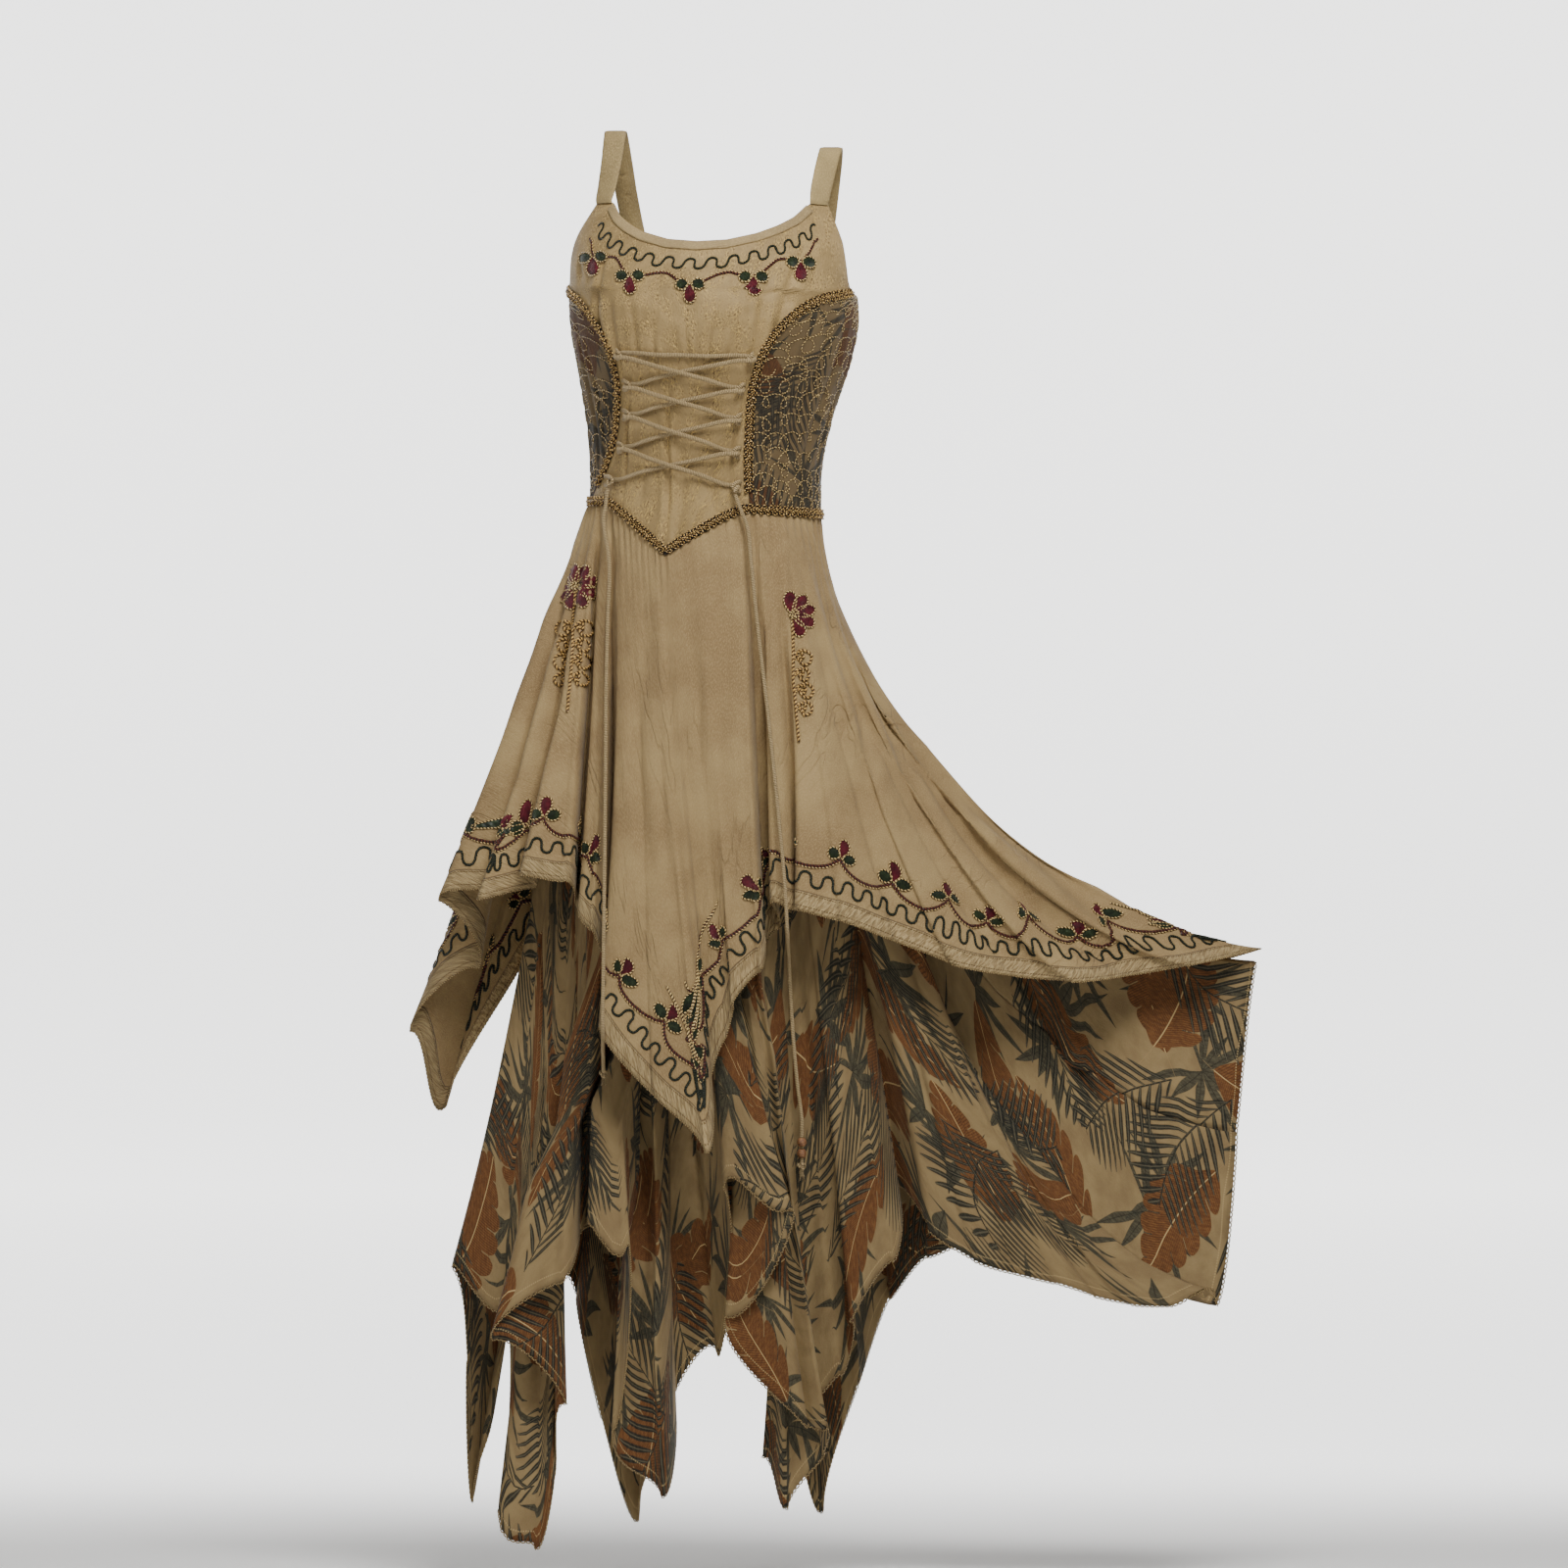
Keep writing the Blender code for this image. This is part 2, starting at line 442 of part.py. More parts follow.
def keep_inside(under, over):
    """The lower skirt drawn in wherever the upper one covers it, and for a little way below its hem."""
    below = [over[-1] - np.array([0, 0, drop]) for drop in range(8, 65, 8)]
    fine = np.concatenate([over.reshape(-1, 3), *below])
    polar = np.degrees(np.arctan2(fine[:, 0] - WAIST_CENTRE[0], -fine[:, 1]))
    reach = np.linalg.norm(fine[:, :2] - WAIST_CENTRE, axis=1)
    arms = under[..., :2] - WAIST_CENTRE
    lengths = np.linalg.norm(arms, axis=-1)
    share = np.ones(lengths.shape)
    for index in np.ndindex(len(under) - 1, under.shape[1]):
        here = math.degrees(math.atan2(arms[index][0], -under[index][1]))
        near = ((np.abs((polar - here + 180) % 360 - 180) < max(1.0, 800 / lengths[index]))
                & (np.abs(fine[:, 2] - under[index][2]) < min(28, 3600 / lengths[index])))
        if near.any():
            share[index] = min(1.0, (reach[near].min() * 0.92 - 2) / lengths[index])
    least = np.min([np.roll(share, step, axis=1) for step in (-2, -1, 0, 1, 2)], axis=0)
    share = np.mean([np.roll(least, step, axis=1) for step in (-2, -1, 0, 1, 2)], axis=0)
    share[0] = share[-1] = 1
    result = under.copy()
    result[..., :2] = WAIST_CENTRE + arms * share[..., None]
    return result


def normals(grid):
    """Outward normals of a grid that closes on itself sideways."""
    down = np.gradient(grid, axis=0)
    after = unit(np.cross(down, np.roll(grid, -1, axis=1) - grid))
    before = unit(np.cross(down, grid - np.roll(grid, 1, axis=1)))
    return unit(after + before)


def build_skirt(name, grid, seam):
    """A skirt's two pieces, front and back, with a seam at each side."""
    facing = normals(grid)
    if np.sum(facing[0, :, :2] * (grid[0, :, :2] - WAIST_CENTRE)) < 0:
        facing = -facing
    outer, inner = grid + facing * CLOTH / 2, grid - facing * CLOTH / 2
    total, (left, right) = grid.shape[1], seam
    for piece, cols in (("front", list(range(left, total)) + list(range(right + 1))), ("back", list(range(right, left + 1)))):
        sides = []
        for shell in (outer, inner):
            cut = shell[:, cols].copy()
            cut[:, 0] += unit(cut[:, 1] - cut[:, 0]) * SEAM_GAP / 2
            cut[:, -1] += unit(cut[:, -2] - cut[:, -1]) * SEAM_GAP / 2
            sides.append(cut)
        wall(f"{name}_{piece}", *sides)


def hang(points, cloth):
    """A free end's line, standing off the cloth behind it."""
    surface = cloth.reshape(-1, 3)
    line = []
    for point in points:
        near = (np.abs(surface[:, 0] - point.across) < 10) & (np.abs(surface[:, 2] + point.drop) < 18)
        behind = surface[near, 1].min() if near.any() else -92.0
        line.append([point.across, behind - point.clear - LACE / 2, -point.drop])
    return line


def bead(name, centre):
    """A round wooden bead with the lace's hole down its middle."""
    radius, hole, sides = BEAD / 2, LACE / 2 + 0.35, 14
    high = math.sqrt(radius**2 - hole**2)
    outline = [(hole, high)] + [(radius * math.cos(a), radius * math.sin(a)) for a in np.radians([48, 22, 0, -22, -48])]
    outline.append((hole, -high))
    points = [centre + np.array([r * math.cos(2 * math.pi * s / sides), r * math.sin(2 * math.pi * s / sides), z])
              for s in range(sides) for r, z in outline]
    ring = len(outline)
    faces = []
    for s in range(sides):
        for k in range(ring):
            a, b = s * ring + k, s * ring + (k + 1) % ring
            c, d = (s + 1) % sides * ring + (k + 1) % ring, (s + 1) % sides * ring + k
            faces.append((a, b, c, d))
    return solid(name, points, faces)


def build_ends(cloth):
    """The two free ends of the lace, and the beads on the right one."""
    _, left, right = lacing_route()
    for name, leave, over, rows in (("left", left, LEFT_OVER, LEFT_END), ("right", right, RIGHT_OVER, RIGHT_END)):
        line = hang(rows, cloth)
        if name == "right":
            for row in line[-3:]:
                row[1] = line[-4][1]
            line[-3][0] = line[-2][0] = line[-1][0]
        start = leave + unit(off_body(over[0].angle, over[0].drop, over[0].high) - leave) * 1.8
        points = [start] + [off_body(row.angle, row.drop, row.high) for row in over] + line
        tube(f"lace_end_{name}", route(points, 13), LACE)
    for number, drop in enumerate(BEADS, 1):
        bead(f"bead_{number}", np.array([line[-1][0], line[-1][1], -drop]))


def main():
    """Build every piece of the dress."""
    for name in [thing.name for thing in bpy.data.objects]:
        bpy.data.objects.remove(bpy.data.objects[name])
    build_bodice()
    build_straps()
    build_trims()
    build_lacing()
    cloth = skirt(OVERSKIRT, 0, 1.5, np.linspace(0, 1, 60), OVER_LATE)
    over = skirt(OVERSKIRT, 0, 6.5, np.linspace(0, 1, 12), OVER_LATE)
    under = keep_inside(skirt(UNDERSKIRT, 1.8, 6.5, np.linspace(0, 1, 13), UNDER_LATE), cloth)
    for name, folds, grid, sides in (("overskirt", OVERSKIRT, over, (262, 128)), ("underskirt", UNDERSKIRT, under, (260, 131))):
        counts = spacing(folds, 6.5)
        build_skirt(name, grid, [int(counts[:column(folds, "angle").index(side)].sum()) for side in sides])
    build_ends(np.concatenate([over.reshape(-1, 3), cloth.reshape(-1, 3),
                               skirt(UNDERSKIRT, 1.8, 1.5, np.linspace(0, 1, 80), UNDER_LATE).reshape(-1, 3)]))


main()
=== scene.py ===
# %% [markdown]
# # A lace-up midi dress with a two-layer handkerchief hem
# The real dress is sewn from washed rayon: a jacquard front, printed side panels covered with looped
# gold thread, a plain overskirt with an embroidered border, and a printed underskirt. Every cell below
# makes one piece or one finish. Sizes are in millimetres until a mesh is made.
# %% Load the frame and keep its box
import math
from collections import namedtuple

import bmesh
import bpy
import numpy as np
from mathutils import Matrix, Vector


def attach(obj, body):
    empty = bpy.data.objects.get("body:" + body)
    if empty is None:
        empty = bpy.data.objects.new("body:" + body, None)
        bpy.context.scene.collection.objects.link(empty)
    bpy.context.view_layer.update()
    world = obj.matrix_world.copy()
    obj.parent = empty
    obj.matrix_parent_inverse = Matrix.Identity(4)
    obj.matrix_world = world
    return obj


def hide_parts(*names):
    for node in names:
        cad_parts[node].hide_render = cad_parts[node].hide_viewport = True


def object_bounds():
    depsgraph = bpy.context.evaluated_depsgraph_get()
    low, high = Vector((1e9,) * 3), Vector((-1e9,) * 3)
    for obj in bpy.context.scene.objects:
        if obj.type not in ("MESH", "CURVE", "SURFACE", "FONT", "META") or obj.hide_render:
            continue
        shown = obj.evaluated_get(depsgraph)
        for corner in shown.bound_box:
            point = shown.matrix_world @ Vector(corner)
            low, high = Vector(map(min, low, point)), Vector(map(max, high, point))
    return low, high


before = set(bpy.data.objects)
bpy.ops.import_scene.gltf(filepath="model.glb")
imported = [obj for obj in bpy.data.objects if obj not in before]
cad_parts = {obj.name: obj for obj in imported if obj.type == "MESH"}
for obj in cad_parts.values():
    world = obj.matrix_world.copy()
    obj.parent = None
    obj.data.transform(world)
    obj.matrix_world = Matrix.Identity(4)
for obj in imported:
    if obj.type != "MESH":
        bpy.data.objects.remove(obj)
CAD_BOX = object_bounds()
MM = 0.001
bpy.ops.object.select_all(action="DESELECT")
print(len(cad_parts), "solids in the frame")

# %% [markdown]
# The picture is square and looks straight at the dress from twelve metres. The camera comes
# first, because the free lace ends have to fall where it sees them.
# %% Camera
view = bpy.data.cameras.new("camera")
view.lens_unit = "FOV"
view.sensor_fit = "AUTO"
view.angle = math.radians(7.24)
camera = bpy.data.objects.new("camera", view)
camera.location = (0.0665, -12.0, -0.622)
camera.rotation_euler = (math.pi / 2, 0, 0)
bpy.context.scene.collection.objects.link(camera)
bpy.context.scene.camera = camera
print("view of", round(math.degrees(view.angle), 2), "degrees")

# %% [markdown]
# The light is a plain studio: a pale sweep that is floor and backdrop in one, a large soft light from
# the front and above, a weaker one from the viewer's left, and an even white surround.
# %% Floor, backdrop and light
FLOOR_DROP = 1392
SWEEP = 16


def add_sweep():
    """The wide pale floor that bends up into a backdrop far behind the dress."""
    profile = [(-SWEEP, 0.0), (0.4, 0.0), (2.0, 0.0), (11.5, 0.0), (12.4, 0.12), (13.0, 0.5), (13.3, 1.1),
               (13.4, 2.0), (13.4, 9.0)]
    points = [(x, y, z - FLOOR_DROP * MM) for x in (-SWEEP, SWEEP) for y, z in profile]
    n = len(profile)
    mesh = bpy.data.meshes.new("backdrop")
    mesh.from_pydata(points, [], [(k, k + n, k + n + 1, k + 1) for k in range(n - 1)])
    for face in mesh.polygons:
        face.use_smooth = True
    sweep = bpy.data.objects.new("backdrop", mesh)
    bpy.context.scene.collection.objects.link(sweep)
    return sweep


def add_lamp(name, place, aim, size, power):
    """One soft square lamp that looks at a point of the dress."""
    lamp = bpy.data.lights.new(name, "AREA")
    lamp.energy, lamp.size = power, size
    thing = bpy.data.objects.new(name, lamp)
    thing.location = place
    x, y, z = np.array(place) - np.array(aim)
    thing.rotation_euler = (math.atan2(math.hypot(x, y), z), 0, math.atan2(x, -y))
    bpy.context.scene.collection.objects.link(thing)


backdrop = add_sweep()
add_lamp("key light", (0.45, -1.75, 1.35), (0, 0, -0.4), 1.0, 78)
add_lamp("side light", (-2.3, -1.8, 0.7), (0, 0, -0.5), 1.4, 15)
world = bpy.data.worlds.new("studio")
bpy.context.scene.world = world
world.use_nodes = True
world.node_tree.nodes["Background"].inputs["Color"].default_value = (1, 1, 1, 1)
world.node_tree.nodes["Background"].inputs["Strength"].default_value = 0.13

# %% [markdown]
# The sizes and tables of the dress. They are those of its solids: each finer piece below has the
# solid's own form, read from the same tables at more points.
# %% Sizes and tables
CLOTH = 1.2
SEAM_GAP, WAIST_GAP = 0.3, 1.6
WAIST_DROP = 357
WAIST_POINT, WAIST_POINT_ANGLE, WAIST_POINT_HALF = 46, -0.5, 38
SIDE_SEAM = 112
OVER_SIDES, UNDER_SIDES = (262, 128), (260, 131)
OVER_INSET, UNDER_INSET = 0, 1.8
TILT = 3.5
CUP, CUP_ANGLE, CUP_DROP = 7, 27, 165
STRAP_WIDTH, STRAP_CLOTH = 21, 1.8
LACE, LOOP_TUBE = 3.8, 2.2
BINDING_WIDTH = 9
BEAD = 9.5
WAIST_CENTRE = np.array([-9.5, 0.0])

# %% [markdown]
# The bodice follows the worn body. Sections give its half width, its depth in front and behind, its turn
# and its centre at some drops below the shoulders. Edges give where each panel starts and stops.
# %% The body's sections and the bodice's edges


def table(kind, *rows):
    """A short table: every row has the named columns of its kind."""
    return [kind(*row) for row in rows]


Section = namedtuple("Section", "drop half_width front back turn centre")
SECTIONS = table(
    Section,
    (0, 120, 30, 45, 3, 7), (30, 122, 50, 66, 3, 4), (65, 126, 72, 84, 5, 0), (100, 136, 97, 96, 9, -2),
    (140, 140, 112, 102, 13, -2), (175, 141, 116, 100, 16, -1), (210, 135, 110, 95, 17.5, -2),
    (250, 125, 101, 88, 19, -5), (300, 116, 93, 82, 21, -8), (356, 115, 90, 82, 22, -9.5),
    (410, 120, 97, 92, 22, -10))
Edge = namedtuple("Edge", "angle drop")
NECKLINE = table(Edge, (0, 101), (12, 99), (24, 92), (34, 83), (42, 74), (49, 62))
BACK_EDGE = table(Edge, (112, 150), (128, 145), (142, 139), (160, 137), (180, 136))
Side = namedtuple("Side", "drop left right")
FRONT_SIDES = table(
    Side,
    (357, -62, 40), (340, -51, 39.5), (322, -42, 38.8), (304, -36, 38), (284, -32.5, 37), (260, -30.5, 35),
    (238, -30, 34), (218, -31.3, 34.3), (202, -33, 35.5), (188, -36.5, 38.5), (176, -42.5, 42.5),
    (166, -49, 47.5), (158, -56.5, 53.5), (152, -66, 61), (148, -78, 70), (145, -90, 84))
ARMHOLE = table(Side, (134, -84, 80), (116, -78.5, 77), (98, -74, 74), (80, -69, 69), (62, -63, 63))

# %% [markdown]
# The fall of both skirts, fold by fold round the waist. A row is one crest or hollow of the hem: the
# angle where it leaves the waist, where it hangs, and how its fall bows. A cloth simulation would find
# folds of its own; a table puts them where this dress has them.
# %% The folds of both skirts
Fold = namedtuple("Fold", "angle across towards drop spread fall")
OVERSKIRT = table(
    Fold,
    (-84, -296, -20, 862, 0.88, 1), (-78, -229, 5, 800, 0.9, 1), (-70, -267, 35, 734, 0.9, 1),
    (-64, -218, 45, 722, 1, 1), (-60, -229, 75, 733, 1, 1), (-54.5, -176, 62, 722, 1, 1),
    (-51, -188, 98, 709, 1, 1), (-48, -143, 106, 714, 1, 1), (-45, -135, 55, 735, 1, 1),
    (-42, -131, 96, 748, 1, 1), (-39, -118, 104, 761, 1, 1), (-36, -96, 62, 800, 1, 1),
    (-33, -111, 122, 853, 1, 1), (-20, -60, 139, 917, 1, 1), (-4, -9, 143, 975, 1, 1),
    (1, -4, 119, 905, 1, 1), (8, 10, 117, 866, 1, 1), (14, 16, 127, 833, 1, 1), (36, 43, 133, 802, 1, 1),
    (39, 47, 86, 777, 1, 1), (42, 62, 84, 761, 1, 1), (45, 53, 117, 735, 1, 1), (49, 71, 116, 741, 1, 1),
    (52.5, 82, 98, 743, 1, 1), (56, 77, 124, 741, 1, 1), (61, 120, 126, 752, 1.1, 1),
    (66, 172, 106, 772, 1.2, 1.05), (72, 228, 110, 795, 1.3, 1.1), (79, 286, 84, 806, 1.4, 1.15),
    (86, 343, 92, 812, 1.5, 1.2), (93, 400, 56, 806, 1.55, 1.3), (99, 455, 56, 797, 1.6, 1.35),
    (106, 527, 22, 781, 1.6, 1.4), (114, 470, -18, 800, 1.6, 1.35), (121, 395, -52, 815, 1.5, 1.3),
    (128, 330, -40, 800, 1.4, 1.2), (135, 262, -78, 790, 1.3, 1.1), (142, 205, -62, 770, 1.2, 1),
    (149, 160, -108, 760, 1.1, 1), (156, 112, -84, 780, 1, 1), (163, 80, -128, 810, 1, 1),
    (170, 44, -104, 860, 1, 1), (178, 6, -140, 975, 1, 1), (186, -34, -108, 900, 1, 1),
    (194, -66, -134, 830, 1, 1), (203, -104, -98, 770, 1, 1), (212, -136, -124, 735, 1, 1),
    (222, -160, -84, 735, 1, 1), (232, -186, -104, 745, 1, 1), (244, -186, -62, 790, 1, 1),
    (262, -262, -66, 935, 0.92, 1))
UNDERSKIRT = table(
    Fold,
    (-80, -255, 0, 1088, 1, 1), (-74, -203, 22, 1120, 1, 1), (-70, -209, 50, 1322, 1, 1),
    (-67, -173, 46, 1360, 1, 1), (-64, -155, 40, 1290, 1, 1), (-61, -143, 60, 1219, 1, 1),
    (-58, -214, 85, 1156, 1, 1), (-52, -148, 97, 1101, 1, 1), (-47, -131, 36, 1056, 1, 1),
    (-43, -122, 88, 1042, 1, 1), (-38, -83, 98, 1062, 1, 1), (-33, -99, 70, 1244, 1, 1),
    (-26, -51, 88, 1307, 1, 1), (-20, -42, 25, 1217, 1, 1), (-10, 3, 20, 1175, 1, 1),
    (-4, 8, 96, 1008, 1, 1), (6, 74, 112, 1028, 1, 1), (12, 10, 74, 1134, 1, 1), (20, 78, 88, 1228, 1, 1),
    (23, 84, 70, 1236, 1, 1), (26, 109, 88, 1241, 1, 1), (29, 106, 66, 1265, 1, 1),
    (32, 70, 58, 1320, 1, 1), (36, 46, 40, 1271, 1, 1), (40, 90, 24, 1225, 1, 1), (44, 122, 28, 1193, 1, 1),
    (48, 130, 52, 1140, 1, 1), (53, 172, 38, 1083, 1, 1), (57, 176, 8, 1012, 1, 1),
    (62, 206, 48, 1052, 1.1, 1), (70, 250, 56, 1081, 1.2, 1), (76, 290, 44, 1094, 1.3, 1),
    (82, 330, 50, 1103, 1.4, 1), (88, 366, 38, 1116, 1.5, 1.1), (93, 402, 42, 1124, 1.55, 1.15),
    (98, 440, 32, 1126, 1.6, 1.2), (102, 484, 28, 1126, 1.6, 1.3), (105, 503, 21, 960, 1.6, 1.33),
    (108, 522, 12, 797, 1.62, 1.36), (111, 496, -4, 900, 1.6, 1.33), (114, 470, -16, 1000, 1.6, 1.3),
    (119, 400, -30, 1060, 1.5, 1.2), (125, 330, -24, 1040, 1.4, 1.1), (131, 260, -52, 1060, 1.3, 1),
    (137, 205, -36, 1080, 1.2, 1), (143, 170, -80, 1120, 1.1, 1), (149, 140, -50, 1200, 1, 1),
    (155, 105, -85, 1330, 1, 1), (161, 80, -48, 1240, 1, 1), (167, 50, -90, 1150, 1, 1),
    (173, 15, -60, 1080, 1, 1), (180, -20, -95, 1110, 1, 1), (187, -45, -58, 1230, 1, 1),
    (195, -75, -88, 1340, 1, 1), (203, -110, -50, 1240, 1, 1), (211, -135, -84, 1120, 1, 1),
    (219, -165, -48, 1060, 1, 1), (228, -195, -72, 1100, 1, 1), (237, -215, -38, 1230, 1, 1),
    (246, -236, -48, 1320, 1, 1), (260, -240, -20, 1180, 1, 1))
OVER_LATE, UNDER_LATE = (2, 1), (3.5, 1.6)
SOLID_PITCH = 6.5
print(len(OVERSKIRT), "overskirt folds,", len(UNDERSKIRT), "underskirt folds")

# %% [markdown]
# The lace's tables: the loops that it runs through, how far each turn stands off the cloth, and the
# lines of its two free ends down the skirt.
# %% The lace's tables
Loop = namedtuple("Loop", "drop left right")
LOOPS = table(
    Loop,
    (211, -25.8, 30), (241, -22, 28.2), (270, -22.5, 29.5), (302, -26.2, 31), (335, -33.5, 32))
UNDER, TURN, OVER, TOP_CROSS, LOW_CROSS = 3.1, 6.5, 9.9, 8.8, 4.0
Over = namedtuple("Over", "angle drop high")
Hang = namedtuple("Hang", "across drop clear")
LEFT_OVER = table(Over, (-33.8, 347, 10), (-34.3, 358, 10), (-35, 374, 9.6))
LEFT_END = table(
    Hang,
    (-101.5, 410, 6), (-103, 460, 5), (-104.5, 527, 4), (-105, 600, 4), (-105.5, 680, 5), (-106, 740, 6),
    (-106.5, 800, 7), (-107, 850, 7), (-107, 900, 7))
RIGHT_OVER = table(Over, (33, 348, 10), (35, 358, 10), (38, 374, 9.6))
RIGHT_END = table(
    Hang,
    (35, 410, 7), (39, 450, 6), (44, 495, 6), (50, 545, 6), (56, 600, 6), (62, 660, 7), (67, 715, 8),
    (69.5, 760, 8), (72, 810, 8), (75, 862, 8), (79.5, 913, 8), (82.5, 945, 8), (83.5, 960, 8),
    (83.5, 990, 8))
BEADS = [967, 978]

# %% [markdown]
# Each strap stands over the shoulder and comes down to the bodice at both ends. A row is one place on
# its middle line, with how far the strap's width is turned there.
# %% The straps' tables
Rest = namedtuple("Rest", "across towards rise lie")
STRAPS = {
    "left": table(
        Rest,
        (-106.9, 30.9, -60.5, 45), (-106.8, 30.9, -56, 42), (-104, 30, -44, 34), (-100, 24, -20, 22),
        (-97.5, 12, 2, 10), (-96.5, 0, 9, 4), (-95, -16, 4, -3), (-91, -40, -20, -8), (-86, -62, -52, -12),
        (-78, -82, -92, -15), (-69, -96.4, -130, -17), (-68, -97.6, -136.3, -17)),
    "right": table(
        Rest,
        (100.1, 48.3, -62.7, 35), (100.4, 48, -58, 34), (102, 42.5, -48, 28), (106, 31, -30, 20),
        (110.5, 14, -12, 10), (112.5, 0, -7, 2), (113, -18, -12, -8), (111, -38, -34, -20),
        (108, -50, -66, -30), (104, -56, -104, -38), (100.3, -58.8, -134, -43), (99.9, -59, -140.4, -43)),
}


# %% [markdown]
# The formulas that turn the tables into surfaces: the worn body's form, the waist seam that dips to a
# point, and a smooth curve through a table's rows.
# %% Curves and the body's form
def smooth(knots, values, where):
    """A smooth curve through a table's values, read at one or more places."""
    knots, values = np.asarray(knots, float), np.asarray(values, float)
    where = np.clip(np.asarray(where, float), knots[0], knots[-1])
    slope = np.gradient(values, knots)
    i = np.clip(np.searchsorted(knots, where, side="right") - 1, 0, len(knots) - 2)
    step = knots[i + 1] - knots[i]
    t = (where - knots[i]) / step
    return ((2 * t**3 - 3 * t**2 + 1) * values[i] + (t**3 - 2 * t**2 + t) * step * slope[i]
            + (3 * t**2 - 2 * t**3) * values[i + 1] + (t**3 - t**2) * step * slope[i + 1])


def column(rows, name):
    """One named column of a table."""
    return [getattr(row, name) for row in rows]


def unit(vectors):
    """The same vectors at length one."""
    return vectors / np.maximum(np.linalg.norm(vectors, axis=-1, keepdims=True), 1e-9)


def run_along(line):
    """The length along a line of points at each of them."""
    return np.concatenate([[0], np.cumsum(np.linalg.norm(np.diff(line, axis=0), axis=1))])


def body(angle, drop, out=0.0):
    """Points of the worn body's surface, by angle from the front centre, drop and height off it."""
    angle, drop, out = np.broadcast_arrays(np.asarray(angle, float), np.asarray(drop, float), out)
    half, front, back, turn, centre = (smooth(column(SECTIONS, "drop"), column(SECTIONS, name), drop)
                                       for name in ("half_width", "front", "back", "turn", "centre"))
    a, turn = np.radians(angle), np.radians(turn)
    cup = CUP * np.exp(-((np.abs(angle) - CUP_ANGLE) / 15) ** 2 - ((drop - CUP_DROP) / 42) ** 2)
    depth = np.where(np.cos(a) > 0, front, back)
    across = (half + out + cup) * np.sin(a)
    along = -(depth + out + cup) * np.cos(a)
    x = across * np.cos(turn) + along * np.sin(turn) + centre
    y = -across * np.sin(turn) + along * np.cos(turn)
    return np.stack([x, y, -drop - x * math.tan(math.radians(TILT)) * drop / 356], axis=-1)


def off_body(angle, drop, height):
    """Points that stand straight off the body's surface by a height."""
    across = body(angle + 0.5, drop) - body(angle - 0.5, drop)
    down = body(angle, drop + 1.0) - body(angle, drop - 1.0)
    return body(angle, drop) + unit(np.cross(down, across)) * height


def waist_drop(angle):
    """The drop of the waist seam, which dips to a point in the front."""
    near = np.clip(1 - np.abs(np.asarray(angle, float) - WAIST_POINT_ANGLE) / WAIST_POINT_HALF, 0, 1)
    return WAIST_DROP + WAIST_POINT * near**1.25


def side_angles(drops, which):
    """The angle of the front's edge, at the armhole and then at the seam below it."""
    edge = sorted(FRONT_SIDES + ARMHOLE)
    return np.interp(drops, column(edge, "drop"), column(edge, which))


def route(points, step):
    """A smooth curve through route points, read about every step."""
    points = np.asarray(points, float)
    lengths = np.concatenate([[0], np.cumsum(np.linalg.norm(np.diff(points, axis=0), axis=1) ** 0.75)])
    count = max(2, int(round(run_along(points)[-1] / step)) + 1)
    at = np.linspace(0, lengths[-1], 40 * count)
    fine = np.stack([smooth(lengths, points[:, k], at) for k in range(3)], axis=1)
    run = run_along(fine)
    return np.stack([np.interp(np.linspace(0, run[-1], count), run, fine[:, k]) for k in range(3)], axis=1)


# %% [markdown]
# A skirt is a sheet that leaves the waist seam and ends in folds at the hem. Its table gives each
# fold's place at the hem, and the sheet is read at columns about as far apart as the cloth needs.
# %% The skirts' sheets
def between(values, counts, bow=0.7):
    """Values with smooth ones put between them, round the closed hem."""
    values = np.asarray(values, float)
    before, after, last = np.roll(values, 1), np.roll(values, -1), np.roll(values, -2)
    result = []
    for a, b, c, d, count in zip(before, values, after, last, counts):
        for t in np.arange(count) / count:
            lift = t * (1 - t) * ((1 - t) * (b - a) + t * (d - c) - (1 - 2 * t) * (c - b))
            result.append(b * (1 - t) + c * t + lift * bow)
    return np.array(result)


def fold_gaps(folds):
    """The waist angle from each fold to the next, round the closed seam."""
    angle = np.array(column(folds, "angle"), float)
    return np.append(np.diff(angle), 360 + angle[0] - angle[-1])


def fold_steps(folds, counts):
    """The waist angle of every column."""
    gaps = fold_gaps(folds)
    return np.concatenate([f.angle + gap * np.arange(n) / n for f, gap, n in zip(folds, gaps, counts)])


def fine_counts(folds, pitch, top_pitch):
    """How many columns each fold gets, from its real width at the hem and at the waist."""
    hem = np.array([[f.across, f.towards, f.drop] for f in folds], float)
    wide = np.linalg.norm(np.roll(hem, -1, axis=0) - hem, axis=1)
    arc = np.radians(fold_gaps(folds)) * 100
    return np.maximum(2, np.round(np.maximum(wide / pitch, arc / top_pitch))).astype(int)


def skirt(folds, counts, inset, rows, late):
    """The middle surface of a skirt: a grid from the waist seam to the hem, all the way round."""
    steps = fold_steps(folds, counts)
    top = body(steps, waist_drop(steps) + WAIST_GAP, -inset)
    v = rows[:, None]
    spread, fall = between(column(folds, "spread"), counts), between(column(folds, "fall"), counts)
    plan, down = v**spread, 1 - (1 - v) ** fall
    place = []
    for k, name, sign in ((0, "across", 1), (1, "towards", -1)):
        edge = np.array(column(folds, name), float) * sign
        soft = sum(np.roll(edge, shift) * (4 - abs(shift)) for shift in range(-3, 4)) / 16
        base = between(soft, counts)
        fold = between(edge, counts) - base
        place.append(top[:, k] + (base - top[:, k]) * plan + fold * v ** late[k])
    z = between(column(folds, "drop"), counts)
    return np.stack([*place, top[:, 2] + (-z - top[:, 2]) * down], axis=-1)

